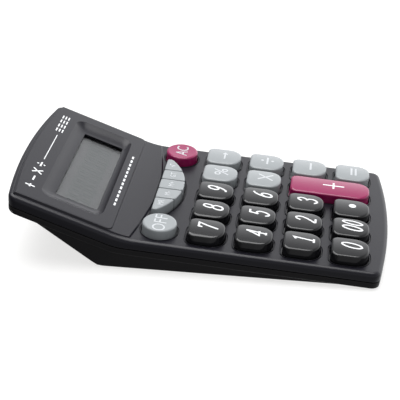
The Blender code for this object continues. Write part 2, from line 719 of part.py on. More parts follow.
def add_bottom_case():
    """Lower shell: rim band, wedge belly, battery bay and screw pillars."""
    shell = prism("bottom_case", case_plan(BELLY_INSET), -40 * MM, 40 * MM, home=parts,
                  material=black_shell)
    column = profile_between(folded_line(PARTING_N + LIP_RISE, PARTING_M + LIP_RISE), deep_line(-30 * MM))
    combine(shell, prism("lip_level", column, -FAR, FAR, across=True), "INTERSECT")
    combine(shell, prism("belly_level", profile_between(sky_line(), belly_line(0)), -70 * MM, 70 * MM,
                         across=True), "INTERSECT")
    band = prism("rim_band", case_plan(0), -45 * MM, 45 * MM)
    band_sheet = profile_between(folded_line(PARTING_N - GAP, PARTING_M - GAP),
                                 folded_line(PARTING_N - RIM_BAND, PARTING_M - RIM_BAND))
    combine(band, prism("rim_sheet", band_sheet, -80 * MM, 80 * MM, across=True), "INTERSECT")
    combine(shell, band, "UNION")
    cavity = prism("lower_cavity", case_plan(CAVITY_INSET), -50 * MM, 50 * MM)
    inner_line = belly_line(FLOOR_WALL, PARTING_M - RIM_BAND + FLOOR_WALL)
    floor = prism("cavity_floor", profile_between(sky_line(), inner_line), -75 * MM, 75 * MM, across=True)
    combine(cavity, floor, "INTERSECT")
    combine(shell, cavity)
    bay_u = BAY_HALF_WIDTH + BAY_WALL
    bay = box("bay_block", (-bay_u, BAY_V[0] - BAY_WALL, -30 * MM), (bay_u, BAY_V[1] + BAY_WALL, BAY_TOP_N))
    combine(bay, prism("bay_trim", profile_between(sky_line(), belly_line(FLOOR_WALL / 2)),
                       -90 * MM, 90 * MM, across=True), "INTERSECT")
    combine(shell, bay, "UNION")
    pillars = tool_set("lower_pillars")
    holes = tool_set("lower_holes")
    for place in points_mm(CASE_SCREWS):
        floor_n = belly_n(place[1], FOOT_HEIGHT + FLOOR_WALL / 2)
        pillars.objects.link(rod("pillar", place, PILLAR_RADIUS, floor_n, PILLAR_TOP))
        holes.objects.link(rod("head_room", place, WELL_RADIUS, -30 * MM, SEAT_N))
        holes.objects.link(rod("shank_room", place, BOSS_HOLE, -20 * MM, 0))
    for place in points_mm(END_SCREWS):
        pillars.objects.link(rod("end_pillar", place, END_PILLAR_RADIUS, *END_PILLAR_M, display_frame))
        holes.objects.link(rod("end_head_room", place, WELL_RADIUS, -30 * MM, END_SEAT_M, display_frame))
        holes.objects.link(rod("end_shank_room", place, BOSS_HOLE, -20 * MM, 0, display_frame))
    combine(shell, pillars, "UNION")
    bay_room = box("bay_room", (-BAY_HALF_WIDTH, BAY_V[0], -30 * MM), (BAY_HALF_WIDTH, BAY_V[1], 0))
    combine(bay_room, floor, "INTERSECT")
    holes.objects.link(bay_room)
    door_front = world_y(DOOR_FRONT_V, belly_n(DOOR_FRONT_V, FOOT_HEIGHT)) - GAP
    mouth = box("door_mouth", (-DOOR_HALF_WIDTH - GAP, door_front, -5 * MM),
                (DOOR_HALF_WIDTH + GAP, door_front + MOUTH_LENGTH, FOOT_HEIGHT + FLOOR_WALL + GAP), None)
    holes.objects.link(mouth)
    for place in points_mm(FEET):
        holes.objects.link(rod("foot_recess", place, FOOT_RADIUS + GAP, -2 * MM,
                               FOOT_HEIGHT + FOOT_RECESS, None))
    combine(shell, holes)
    smooth(shell)


def add_feet():
    """Four round rubber pads let into the belly."""
    top = FOOT_HEIGHT + FOOT_RECESS - 0.2 * MM
    for index, place in enumerate(points_mm(FEET)):
        foot = rod(f"rubber_foot_{index + 1}", place, FOOT_RADIUS, 0, top, None, parts, foot_rubber, 20)
        smooth(foot)


def add_battery_door():
    """Flat door with a chisel end that slides back off its tongues."""
    front = world_y(DOOR_FRONT_V, belly_n(DOOR_FRONT_V, FOOT_HEIGHT))
    corner_y = world_y(BACK_FOOT_V, belly_n(BACK_FOOT_V, FOOT_HEIGHT))
    back = corner_y + (FLOOR_WALL - DOOR_TIP) / math.tan(BACK_SLOPE + TILT)
    top = FOOT_HEIGHT + FLOOR_WALL
    length = back - front
    mesh = box_mesh("battery_door", (-DOOR_HALF_WIDTH, 0, FOOT_HEIGHT - 1 * MM),
                    (DOOR_HALF_WIDTH, length, top))
    door = add_mesh("battery_door", mesh, None, parts, black_shell)
    door.location = (0, front, 0)
    combine(door, objects["belly_level"], "INTERSECT")
    tongues = tool_set("door_tongues")
    near, far = front + 0.4 * MM, front + 3.2 * MM
    for side in (-1, 1):
        post_u = sorted((side * 24.0 * MM, side * DOOR_HALF_WIDTH))
        wing_u = sorted((side * 24.6 * MM, side * 26.9 * MM))
        tongues.objects.link(box("tongue_post", (post_u[0], near, top - 0.4 * MM),
                                 (post_u[1], far, top + GAP + 0.4 * MM), None))
        tongues.objects.link(box("tongue_wing", (wing_u[0], near, top + GAP),
                                 (wing_u[1], far, top + GAP + TONGUE_RISE), None))
    combine(door, tongues, "UNION")


# ---- Display ----
def add_display():
    """Clear lens, liquid-crystal glass, its holder and the ribbon to the board."""
    box("display_window", (-LENS_HALF_WIDTH, LENS_S[0], LENS_M[0]),
        (LENS_HALF_WIDTH, LENS_S[1], LENS_M[1]), display_frame, parts, clear)
    box("lcd_panel", (-GLASS_HALF_WIDTH, GLASS_S[0], GLASS_M[0]),
        (GLASS_HALF_WIDTH, GLASS_S[1], GLASS_M[1]), display_frame, parts, lcd_grey)
    holder = box("lcd_holder", (-HOLDER_HALF_WIDTH, HOLDER_S[0], HOLDER_M[0]),
                 (HOLDER_HALF_WIDTH, HOLDER_S[1], HOLDER_M[1]), display_frame, parts, black_shell)
    ears = box("holder_ears", (-EARS_HALF_WIDTH, EARS_S[0], HOLDER_M[0] + 0.05 * MM),
               (EARS_HALF_WIDTH, EARS_S[1], HOLDER_M[1] - 0.05 * MM), display_frame)
    combine(holder, ears, "UNION")
    room = tool_set("holder_holes")
    for place in points_mm(HOLDER_SCREWS):
        room.objects.link(rod("holder_hole", place, BOSS_HOLE, -10 * MM, 0, display_frame))
    combine(holder, room)
    route = points_mm([(39.6, -4.95), (37.6, -4.95), (36.0, -4.1), (33.9, -3.62), (31.2, -4.42),
                       (28.6, -5.3), (26.6, -5.6), (25.7, -6.3), (25.2, -7.15), (23.6, -7.2)])
    half = 0.08 * MM
    band = [(v, n + half) for v, n in route] + [(v, n - half) for v, n in reversed(route)]
    band[8] = (band[8][0] + 2 * half, band[8][1])       # keeps the band's width in the steep stretch
    prism("lcd_ribbon", band, -12 * MM, 12 * MM, home=parts, material=film, across=True)


# ---- Rubber sheet, board and what is on it ----
def add_keypad_sheet():
    """Silicone sheet with a post under each key of the main grid and each round key."""
    outline = rounded_rectangle((-BOARD_HALF_WIDTH, BOARD_HALF_WIDTH), RUBBER_V, 2 * MM, 6 * MM, 2)
    sheet = prism("rubber_keypad", outline, *RUBBER_N, home=parts, material=silicone)
    posts = tool_set("rubber_posts")
    places = list(grid_places()) + [key_place(-1, 0), key_place(-1, 4)]
    places += [(COLUMN_PITCH, -2.5 * ROW_PITCH)]
    for place in places:
        posts.objects.link(rod("post", place, POST_RADIUS, RUBBER_N[0] + 0.3 * MM, POST_TOP, segments=8))
    combine(sheet, posts, "UNION")
    holes = tool_set("sheet_holes")
    for place in points_mm(CASE_SCREWS + BOARD_SCREWS):
        holes.objects.link(rod("sheet_hole", place, BOSS_RADIUS + GAP, -12 * MM, 0))
    combine(sheet, holes)


def add_board():
    """Circuit board under the sheet, with the covered chip and a capacitor beneath it."""
    outline = rounded_rectangle((-BOARD_HALF_WIDTH, BOARD_HALF_WIDTH), BOARD_V, 1 * MM, 6 * MM, 2)
    board = prism("main_pcb", outline, *BOARD_N, home=parts, material=board_green)
    holes = tool_set("board_holes")
    for place in points_mm(CASE_SCREWS):
        holes.objects.link(rod("board_hole", place, BOSS_RADIUS + GAP, -12 * MM, 0))
    for place in points_mm(BOARD_SCREWS):
        holes.objects.link(rod("board_small_hole", place, BOSS_HOLE, -12 * MM, 0))
    combine(board, holes)
    under = BOARD_N[0] - GAP
    profile = bpy.data.meshes.new("chip_cover")
    shape = bmesh.new()
    heights = [0, 0.5, 1.0, 1.35, 1.5]
    radii = [6.0, 5.6, 4.2, 2.2, 0]
    chain = [shape.verts.new((0, 0, 0))]
    chain += [shape.verts.new((r * MM, 0, -h * MM)) for r, h in zip(radii, heights)]
    for first, second in zip(chain[:-1], chain[1:]):
        shape.edges.new((first, second))
    shape.to_mesh(profile)
    shape.free()
    chip = add_mesh("chip_cover", profile, keypad_frame, parts, epoxy)
    chip.location = (0, CHIP_V, under)
    turned = chip.modifiers.new("turned", "SCREW")
    turned.steps = 16
    turned.render_steps = 16
    turned.use_merge_vertices = True
    turned.merge_threshold = 0.00001
    can = rod_mesh("filter_capacitor", (0, 0), CAPACITOR_RADIUS, 0, CAPACITOR_LENGTH)
    capacitor = add_mesh("filter_capacitor", can, keypad_frame, parts, epoxy)
    capacitor.location = (*CAPACITOR_PLACE, under - CAPACITOR_RADIUS - 0.1 * MM)
    capacitor.rotation_euler = (math.pi / 2, 0, 0)
    smooth(capacitor)


# ---- Screws ----
def add_screws():
    """Self-tapping screws, heads down."""
    play = 0.2 * MM
    sets = [
        ("case_screw", CASE_SCREWS, SEAT_N - play, TIP_N, keypad_frame, HEAD_RADIUS),
        ("end_screw", END_SCREWS, END_SEAT_M - play, TIP_M, display_frame, HEAD_RADIUS),
        ("board_screw", BOARD_SCREWS, BOARD_N[0] - GAP, TIP_N, keypad_frame, SMALL_HEAD_RADIUS),
        ("holder_screw", HOLDER_SCREWS, HOLDER_M[0] - GAP, TIP_M, display_frame, SMALL_HEAD_RADIUS),
    ]
    for name, places, seat, tip, frame, head in sets:
        for index, place in enumerate(points_mm(places)):
            mesh = rod_mesh(name, (0, 0), head, -HEAD_HEIGHT, 0)
            screw = add_mesh(f"{name}_{index + 1}", mesh, frame, parts, steel)
            screw.location = (*place, seat)
            shank_mesh = rod_mesh("shank", (0, 0), SHANK_RADIUS, -0.3 * MM, tip - seat, 8)
            shank = add_mesh(f"{name}_{index + 1}_shank", shank_mesh, frame, cutters)
            shank.location = (*place, seat)
            combine(screw, shank, "UNION")
            for angle in (0, math.pi / 2):
                slot_mesh = box_mesh("drive_slot", (-1.3 * MM, -0.25 * MM, -2 * MM),
                                     (1.3 * MM, 0.25 * MM, 0.4 * MM - HEAD_HEIGHT))
                slot = add_mesh("drive_slot", slot_mesh, frame, cutters)
                slot.location = (*place, seat)
                slot.rotation_euler = (0, 0, angle)
                combine(screw, slot)
            smooth(screw)


# ---- Cell, contacts and wires ----
def add_cell():
    """AAA cell lying across the bay, its nub to the right."""
    half = CELL_LENGTH / 2
    mesh = rod_mesh("aaa_cell", (0, 0), CELL_RADIUS, -half, half - NUB_LENGTH, 20)
    cell = add_mesh("aaa_cell", mesh, keypad_frame, parts, cell_skin)
    nub_mesh = rod_mesh("cell_nub", (0, 0), NUB_RADIUS, half - 2 * MM, half)
    nub = add_mesh("cell_nub", nub_mesh, keypad_frame, cutters)
    for piece in (cell, nub):
        piece.location = (CELL_U, CELL_V, CELL_N)
        piece.rotation_euler = (0, math.pi / 2, 0)
    combine(cell, nub, "UNION")
    smooth(cell)


def add_contacts():
    """Plates at both ends of the bay, a formed dimple at the plus end and a coil at the other."""
    thin = CONTACT_THICKNESS
    outer = BAY_HALF_WIDTH - GAP
    half_v, half_n = CONTACT_HALF_SIZE
    plus = box("positive_contact", (outer - thin, CELL_V - half_v, CELL_N - half_n),
               (outer, CELL_V + half_v, CELL_N + half_n), keypad_frame, parts, steel)
    reach = outer - thin / 2 - (CELL_U + CELL_LENGTH / 2 + GAP)
    dimple = add_mesh("dimple", rod_mesh("dimple", (0, 0), 2.4 * MM, 0, reach, SEGMENTS, 1.4 * MM),
                      keypad_frame, cutters)
    dimple.location = (outer - thin / 2, CELL_V, CELL_N)
    dimple.rotation_euler = (0, -math.pi / 2, 0)
    combine(plus, dimple, "UNION")
    box("negative_contact", (-outer, CELL_V - half_v, CELL_N - half_n),
        (-outer + thin, CELL_V + half_v, CELL_N + half_n), keypad_frame, parts, steel)
    start = -outer + thin + GAP + SPRING_WIRE
    end = CELL_U - CELL_LENGTH / 2 - GAP - SPRING_WIRE
    turns, per_turn = 4, 10
    route = []
    for i in range(turns * per_turn + 1):
        share = i / (turns * per_turn)
        angle = 2 * math.pi * turns * share
        radius = (3.4 - 1.2 * share) * MM
        route.append((start + (end - start) * share, CELL_V + radius * math.cos(angle),
                      CELL_N + radius * math.sin(angle)))
    add_wire("contact_spring", route, SPRING_WIRE, steel, 1)


def add_wire(name, route, radius, material, resolution=2):
    """A round wire through a list of points."""
    curve = bpy.data.curves.new(name, "CURVE")
    curve.dimensions = "3D"
    curve.bevel_depth = radius
    curve.bevel_resolution = resolution
    curve.use_fill_caps = True
    spline = curve.splines.new("POLY")
    spline.points.add(len(route) - 1)
    for point, place in zip(spline.points, route):
        point.co = (*place, 1)
    wire = objects.new(name, curve)
    parts.objects.link(wire)
    wire.parent = keypad_frame
    curve.materials.append(material)


def rounded_route(corners, rounds=2):
    """A smooth route along corner points given in millimetres, by repeated corner cutting."""
    route = [Vector(corner) * MM for corner in corners]
    for _ in range(rounds):
        finer = [route[0]]
        for first, second in zip(route[:-1], route[1:]):
            finer += [first.lerp(second, 0.25), first.lerp(second, 0.75)]
        finer.append(route[-1])
        route = finer
    return route


def add_wires():
    """Leads from the bay's contacts to the underside of the board."""
    for name, side, material in (("positive_wire", 1, red_wire), ("negative_wire", -1, black_wire)):
        corners = [(side * 26.8, 34.4, -5.7), (side * 27.6, 34.2, -5.1), (side * 30.4, 33.4, -5.3),
                   (side * 31.4, 30.0, -7.4), (side * 31.0, 26.6, -9.4), (side * 30.4, 22.0, -9.1)]
        add_wire(name, rounded_route(corners), LEAD_RADIUS, material)


add_keys()
add_top_case()
add_bottom_case()
add_feet()
add_battery_door()
add_display()
add_keypad_sheet()
add_board()
add_screws()
add_cell()
add_contacts()
add_wires()
bpy.context.view_layer.update()
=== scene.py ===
"""Looks of the pocket calculator: fine shells, rounded keys, printed legends, display and studio.

Shapes are worked out in millimetres, in the same two frames as the CAD: the keypad frame
(u right, v to the display end, n out of the keys) and the display frame (u, s, m).
"""

import math

import bmesh
import bpy
import numpy as np
from mathutils import Matrix, Vector
from mathutils.geometry import delaunay_2d_cdt


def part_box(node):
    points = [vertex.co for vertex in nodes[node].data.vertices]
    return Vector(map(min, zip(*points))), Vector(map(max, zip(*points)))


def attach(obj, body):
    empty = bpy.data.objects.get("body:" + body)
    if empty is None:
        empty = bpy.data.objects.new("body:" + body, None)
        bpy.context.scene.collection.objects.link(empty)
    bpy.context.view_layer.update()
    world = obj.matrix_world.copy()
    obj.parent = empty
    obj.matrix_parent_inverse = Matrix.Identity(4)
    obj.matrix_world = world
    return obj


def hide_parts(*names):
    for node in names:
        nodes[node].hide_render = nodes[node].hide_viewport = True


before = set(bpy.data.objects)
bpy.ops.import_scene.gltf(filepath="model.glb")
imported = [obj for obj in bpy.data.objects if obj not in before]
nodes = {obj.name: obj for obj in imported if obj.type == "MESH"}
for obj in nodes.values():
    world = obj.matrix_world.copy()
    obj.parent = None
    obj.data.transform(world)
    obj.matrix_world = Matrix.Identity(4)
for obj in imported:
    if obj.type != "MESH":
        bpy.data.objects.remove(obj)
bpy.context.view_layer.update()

MM = 0.001
TILT = math.radians(4.1)
FOLD = math.radians(16.7)
GAP = 0.3

HALF_WIDTH, FRONT_V, BACK_V = 37.3, -65.0, 72.9
FRONT_BOW, BACK_BOW, CORNER, RIM_ROUND = 218.0, 231.0, 3.2, 1.7
PANEL_N, PANEL_WALL, SIDE_WALL, FOLD_V = -3.2, 1.4, 1.6, 28.9
FOLD_REACH = 4.9
DECK_RISE, PLATE_RISE = 0.6, 1.0
PARTING_N, PARTING_M, RIM_BAND = -6.6, -4.0, 2.75
BELLY_INSET, TONGUE_INSET, CAVITY_INSET, LIP_RISE, FLOOR_WALL = 1.5, 1.9, 3.0, 0.9, 1.3
BACK_SLOPE, BACK_FOOT_V, FOOT_HEIGHT = math.radians(33), 37.6, 0.4
BELLY_EDGE = 0.5

ROW_PITCH = 17.0
KEY_HALF_WIDTH, KEY_HALF_LENGTH, KEY_TOP, ROUND_KEY_TOP = 6.05, 6.65, 0.65, 0.4
KEY_BACK_CORNER, KEY_FRONT_CORNER, ROUND_KEY_RADIUS = 2.7, 5.1, 6.2
KEY_ROUND, KEY_CROWN_RADIUS, KEY_CROWN = 0.75, 42.0, 0.12
FLANGE_TOP, FLANGE_BOTTOM, FLANGE_LIP, KEY_WALL, KEY_ROOF = -4.85, -5.45, 0.4, 1.3, 1.6
MEMORY_TOP, MEMORY_BACK_V, MEMORY_APEX_V, MEMORY_ARC, MEMORY_HALF = 0.5, 21.7, 12.4, 29.0, 19.2
HOLE_PLAY = 0.35

STEP_MIDDLE_V, STEP_SWEEP, STEP_HALF = 21.8, 4.9, 35.7
PLATE_HALF, PLATE_S, PLATE_FRONT_CORNER, PLATE_BACK_CORNER = 35.2, (4.6, 46.0), 2.5, 3.0
POCKET_HALF, POCKET_S, POCKET_FLOOR, POCKET_CORNER = 29.9, (9.5, 33.2), -0.7, 4.0
WINDOW_HALF, WINDOW_S, WINDOW_CORNER = 24.0, (12.1, 28.2), 0.6
LENS_HALF, LENS_S, LENS_M = 27.0, (10.2, 30.4), (-2.15, -1.65)
GLASS_HALF, GLASS_S, GLASS_M = 28.0, (8.8, 32.0), (-4.3, -2.4)
POLARISER = 0.25                    # thickness of the sheet on top of the glass

DOOR_HALF_WIDTH, WELL_RADIUS, SCREW_HOLE = 25.2, 2.6, 1.15
PILLAR_SEAT, PILLAR_TOP, PILLAR_RADIUS = -9.55, -9.0, 3.5
END_PILLAR_FOOT, END_PILLAR_SEAT, END_PILLAR_TOP, END_PILLAR_RADIUS = -6.2, -5.7, -4.9, 3.2
BAY_HALF, BAY_V, BAY_TOP, BAY_WALL = 28.5, (26.4, 40.8), -6.2, 1.2
FOOT_RECESS, FOOT_PLAY = 0.5, 0.3

# The keypad plane lies just under the tops of the keys; its origin is the middle of the first row.
KEY_PLANE_Y, KEY_PLANE_Z = -4.020, 14.13
KEYPAD = Matrix.Translation((0, KEY_PLANE_Y * MM, KEY_PLANE_Z * MM)) @ Matrix.Rotation(TILT, 4, "X")
KEYPAD = KEYPAD @ Matrix.Scale(MM, 4)
DISPLAY = KEYPAD @ Matrix.Translation((0, FOLD_V, PANEL_N)) @ Matrix.Rotation(FOLD, 4, "X")
WORLD_MM = Matrix.Scale(MM, 4)


# ---- Materials ----
def node(tree, kind, **values):
    """A shader node with its sockets set by name."""
    made = tree.nodes.new(kind)
    for name, value in values.items():
        made.inputs[name.replace("_", " ")].default_value = value
    return made


def noise(tree, **values):
    """Procedural noise that stays with the object."""
    made = node(tree, "ShaderNodeTexNoise", **values)
    coords = tree.nodes.new("ShaderNodeTexCoord")
    tree.links.new(coords.outputs["Object"], made.inputs["Vector"])
    return made.outputs["Fac"]


def ranged(tree, value, start, end, low, high, smooth=False):
    """A value mapped from one range to another."""
    made = node(tree, "ShaderNodeMapRange", From_Min=start, From_Max=end, To_Min=low, To_Max=high)
    if smooth:
        made.interpolation_type = "SMOOTHSTEP"
    tree.links.new(value, made.inputs["Value"])
    return made.outputs["Result"]


def calculated(tree, operation, first, second):
    """Two outputs added or multiplied."""
    made = node(tree, "ShaderNodeMath")
    made.operation = operation
    tree.links.new(first, made.inputs[0])
    tree.links.new(second, made.inputs[1])
    return made.outputs[0]


def blended(tree, share, first, second):
    """A colour between two colours."""
    made = tree.nodes.new("ShaderNodeMix")
    made.data_type = "RGBA"
    made.inputs[6].default_value = (*first, 1)
    made.inputs[7].default_value = (*second, 1)
    tree.links.new(share, made.inputs[0])
    return made.outputs[2]


def material(name, colour, roughness, spread=0.05, mottle=0.05, blotch=140.0, grain=0.0,
             grain_size=2600.0, sockets=None):
    """Moulded plastic or metal: slow colour variation, uneven gloss and a fine surface grain."""
    made = bpy.data.materials.new(name)
    made.use_nodes = True
    tree = made.node_tree
    shader = tree.nodes["Principled BSDF"]
    for socket, value in (sockets or {}).items():
        shader.inputs[socket].default_value = value
    slow = noise(tree, Scale=blotch, Detail=4.0, Roughness=0.6)
    fine = noise(tree, Scale=grain_size, Detail=3.0, Roughness=0.55)
    darker = [c * (1 - mottle) for c in colour]
    lighter = [min(1.0, c * (1 + mottle)) for c in colour]
    tree.links.new(blended(tree, slow, darker, lighter), shader.inputs["Base Color"])
    both = calculated(tree, "ADD", slow, fine)
    gloss = ranged(tree, both, 0, 2, max(0.0, roughness - spread), roughness + spread)
    tree.links.new(gloss, shader.inputs["Roughness"])
    if grain:
        bump = node(tree, "ShaderNodeBump", Strength=grain, Distance=0.00004)
        tree.links.new(fine, bump.inputs["Height"])
        tree.links.new(bump.outputs["Normal"], shader.inputs["Normal"])
    return made


charcoal = material("charcoal_plastic", (0.0065, 0.006, 0.0108), 0.34, grain=0.3,
                    sockets={"Specular IOR Level": 0.38})
black_shell = material("black_plastic", (0.0105, 0.0095, 0.0105), 0.42, grain=0.3,
                       sockets={"Specular IOR Level": 0.25})
black_key = material("black_key_plastic", (0.008, 0.008, 0.009), 0.13, 0.03, grain=0.05,
                     sockets={"Specular IOR Level": 0.5})
grey_key = material("grey_key_plastic", (0.315, 0.335, 0.345), 0.24, 0.04, 0.03, grain=0.08,
                    sockets={"Specular IOR Level": 0.45})
magenta_key = material("magenta_key_plastic", (0.29, 0.007, 0.085), 0.2, 0.04, 0.04, grain=0.06,
                       sockets={"Specular IOR Level": 0.62})
ink = material("white_ink", (0.84, 0.85, 0.86), 0.42, 0.06, 0.03, 600.0)
pale_ink = material("pale_ink", (0.56, 0.58, 0.6), 0.42, 0.06, 0.03, 600.0)
lcd_face = material("lcd_polariser", (0.085, 0.083, 0.086), 0.3, 0.04, 0.03, 90.0, grain=0.05,
                    sockets={"Specular IOR Level": 0.12})
segment = material("lcd_segments", (0.034, 0.052, 0.047), 0.34, 0.04, 0.03, 200.0,
                   sockets={"Specular IOR Level": 0.12})
glass_edge = material("lcd_glass_edge", (0.2, 0.23, 0.22), 0.12, 0.04, 0.04)
mask = material("display_mask", (0.006, 0.006, 0.006), 0.5, 0.06, 0.1)
laminate = material("board_laminate", (0.03, 0.16, 0.06), 0.42, 0.08, 0.25, 420.0, 0.3, 1800.0)
silicone = material("silicone_rubber", (0.42, 0.43, 0.43), 0.62, 0.08, 0.06, 200.0, 0.3)
epoxy = material("black_epoxy", (0.008, 0.008, 0.009), 0.22, 0.08, 0.2, 500.0, 0.3, 900.0)
film = material("ribbon_film", (0.42, 0.2, 0.05), 0.32, 0.08, 0.12, 800.0)
steel = material("zinc_steel", (0.5, 0.5, 0.52), 0.3, 0.1, 0.12, 900.0, 0.4, 4000.0, {"Metallic": 1.0})
foot = material("foot_rubber", (0.016, 0.016, 0.017), 0.8, 0.08, 0.15, 300.0, 0.6, 2200.0)
red_wire = material("red_insulation", (0.45, 0.015, 0.015), 0.42, 0.08, 0.08, 500.0)
black_wire = material("black_insulation", (0.014, 0.014, 0.014), 0.42, 0.08, 0.1, 500.0)
cell_wrap = material("cell_wrap", (0.05, 0.055, 0.07), 0.24, 0.05, 0.08, 300.0, sockets={"Metallic": 0.5})


def clear_material():
    """Thin clear acrylic: mostly see-through, with a mirror-like skin."""
    made = bpy.data.materials.new("clear_acrylic")
    made.use_nodes = True
    tree = made.node_tree
    tree.nodes.remove(tree.nodes["Principled BSDF"])
    through = node(tree, "ShaderNodeBsdfTransparent", Color=(0.93, 0.94, 0.94, 1))
    skin = node(tree, "ShaderNodeBsdfGlossy", Color=(1, 1, 1, 1), Roughness=0.06)
    haze = noise(tree, Scale=300.0, Detail=3.0)
    tree.links.new(ranged(tree, haze, 0, 1, 0.03, 0.1), skin.inputs["Roughness"])
    both = node(tree, "ShaderNodeMixShader", Fac=0.045)
    tree.links.new(through.outputs[0], both.inputs[1])
    tree.links.new(skin.outputs[0], both.inputs[2])
    tree.links.new(both.outputs[0], tree.nodes["Material Output"].inputs["Surface"])
    return made


clear = clear_material()


# ---- Meshes ----
def piece(name, points, faces, made_of, body, slot=None, stands_for=(), to_world=None, angle=32,
          weld=0.002, material_of=None):
    """A closed mesh from points in millimetres, riding on a body."""
    shape = bmesh.new()
    verts = [shape.verts.new(p) for p in points]
    for index, face in enumerate(faces):
        if len(set(face)) < 3:
            continue
        made = shape.faces.new([verts[i] for i in face])
        if material_of:
            made.material_index = material_of[index]
    bmesh.ops.remove_doubles(shape, verts=shape.verts, dist=weld)
    bmesh.ops.dissolve_degenerate(shape, edges=shape.edges, dist=weld / 4)
    bmesh.ops.recalc_face_normals(shape, faces=shape.faces)
    mesh = bpy.data.meshes.new(name)
    shape.to_mesh(mesh)
    shape.free()
    if to_world:
        mesh.transform(to_world)
    mesh.shade_smooth()
    mesh.set_sharp_from_angle(angle=math.radians(angle))
    for each in made_of if isinstance(made_of, (list, tuple)) else [made_of]:
        mesh.materials.append(each)
    made = bpy.data.objects.new(name, mesh)
    bpy.context.scene.collection.objects.link(made)
    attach(made, body)
    if stands_for:
        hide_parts(*stands_for)
    return made


def loft(rings, cap_first=True, cap_last=True):
    """Points and faces of a skin over rings of equal length."""
    count = len(rings[0])
    points = [tuple(p) for ring in rings for p in ring]
    faces = []
    for level in range(len(rings) - 1):
        low, high = level * count, (level + 1) * count
        for i in range(count):
            j = (i + 1) % count
            faces.append((low + i, low + j, high + j, high + i))
    if cap_first:
        faces.append(tuple(reversed(range(count))))
    if cap_last:
        faces.append(tuple(range(len(points) - count, len(points))))
    return points, faces


def join(*parts):
    """Several (points, faces) as one."""
    points, faces = [], []
    for more_points, more_faces in parts:
        base = len(points)
        points += more_points
        faces += [tuple(base + i for i in face) for face in more_faces]
    return points, faces


def arc(centre, radius, start, end, steps):
    """Points on an arc, both ends included; angles in degrees."""
    turns = np.radians(np.linspace(start, end, steps + 1))
    return [(centre[0] + radius * math.cos(a), centre[1] + radius * math.sin(a)) for a in turns]


def stretch(first, second, count):
    """Points strictly between two ends."""
    share = np.linspace(0, 1, count + 2)[1:-1]
    return [(first[0] + (second[0] - first[0]) * s, first[1] + (second[1] - first[1]) * s) for s in share]


def rounded(u, v, back_corner, front_corner, inset=0.0, steps=8, along=4):
    """A rectangle with rounded front and back corners, moved in by inset; point counts don't change."""
    least = 0.15
    u0, u1, v0, v1 = u[0] + inset, u[1] - inset, v[0] + inset, v[1] - inset
    front, back = max(front_corner - inset, least), max(back_corner - inset, least)
    corners = [arc((u1 - front, v0 + front), front, -90, 0, steps),
               arc((u1 - back, v1 - back), back, 0, 90, steps),
               arc((u0 + back, v1 - back), back, 90, 180, steps),
               arc((u0 + front, v0 + front), front, 180, 270, steps)]
    outline = []
    for index, corner in enumerate(corners):
        outline += corner + stretch(corner[-1], corners[(index + 1) % 4][0], along)
    return outline


def ring_at(outline, n):
    """An outline at one height."""
    return [(u, v, n) for u, v in outline]


def round_rings(profile, steps, centre=(0, 0)):
    """Level rings round an axis from (radius, height) pairs."""
    turns = [2 * math.pi * i / steps for i in range(steps)]
    u, v = centre
    return [[(u + r * math.cos(a), v + r * math.sin(a), h) for a in turns] for r, h in profile]


def lathe(profile, steps=56):
    """A turned solid from (radius, height) pairs, first and last on or near the axis."""
    return loft(round_rings(profile, steps))


def moved(part, matrix):
    """Points turned and shifted by a matrix."""
    points, faces = part
    return [tuple(matrix @ Vector(p)) for p in points], faces


def smooth_max(a, b, width):
    return (a + b + np.sqrt((a - b) ** 2 + width ** 2)) / 2


def smooth_min(a, b, width):
    return (a + b - np.sqrt((a - b) ** 2 + width ** 2)) / 2


def ease(x):
    x = np.clip(x, 0, 1)
    return x * x * (3 - 2 * x)


# ---- Plan and folded surface ----
SIDE_STEPS = 72


def bowed_end(half_width, apex, bow, corner):
    """Half of one end: its rounded corner, then the bow up to just before the middle."""
    side = math.copysign(1, apex)
    centre = apex - side * bow
    corner_u = half_width - corner
    corner_v = centre + side * math.sqrt((bow - corner) ** 2 - corner_u ** 2)
    spread = math.atan2(corner_u, abs(corner_v - centre))
    points = []
    for i in range(9):
        turn = (math.pi / 2 - spread) * i / 8
        points.append((corner_u + corner * math.cos(turn), corner_v + side * corner * math.sin(turn)))
    for i in range(1, 16):
        turn = spread * (1 - i / 16)
        points.append((bow * math.sin(turn), centre + side * bow * math.cos(turn)))
    return points


def case_plan(inset):
    """The case's outline in plan, moved inwards by inset."""
    corner = max(CORNER - inset, 0.9)
    front = bowed_end(HALF_WIDTH - inset, FRONT_V + inset, FRONT_BOW - inset, corner)
    back = bowed_end(HALF_WIDTH - inset, BACK_V - inset, BACK_BOW - inset, corner)
    right = list(reversed(front)) + stretch(front[0], back[0], SIDE_STEPS) + back
    left = [(-u, v) for u, v in reversed(right)]
    return right + [(0, BACK_V - inset)] + left + [(0, FRONT_V + inset)]


BEND = FOLD_REACH / math.tan(FOLD / 2)
BEND_START = FOLD_V - FOLD_REACH
BEND_END_V = BEND_START + BEND * math.sin(FOLD)
T_SHIFT = BEND_START + BEND * FOLD - FOLD_REACH


def sheet_turn(t):
    """How far the sheet has turned at t, its length along the fold from front to back."""
    return np.clip((t - BEND_START) / BEND, 0, FOLD)


def t_of_v(v):
    v = np.asarray(v, float)
    bend = BEND_START + BEND * np.arcsin(np.clip((v - BEND_START) / BEND, 0, math.sin(FOLD)))
    beyond = np.where(v < BEND_END_V, bend, (v - FOLD_V) / math.cos(FOLD) + T_SHIFT)
    return np.where(v < BEND_START, v, beyond)


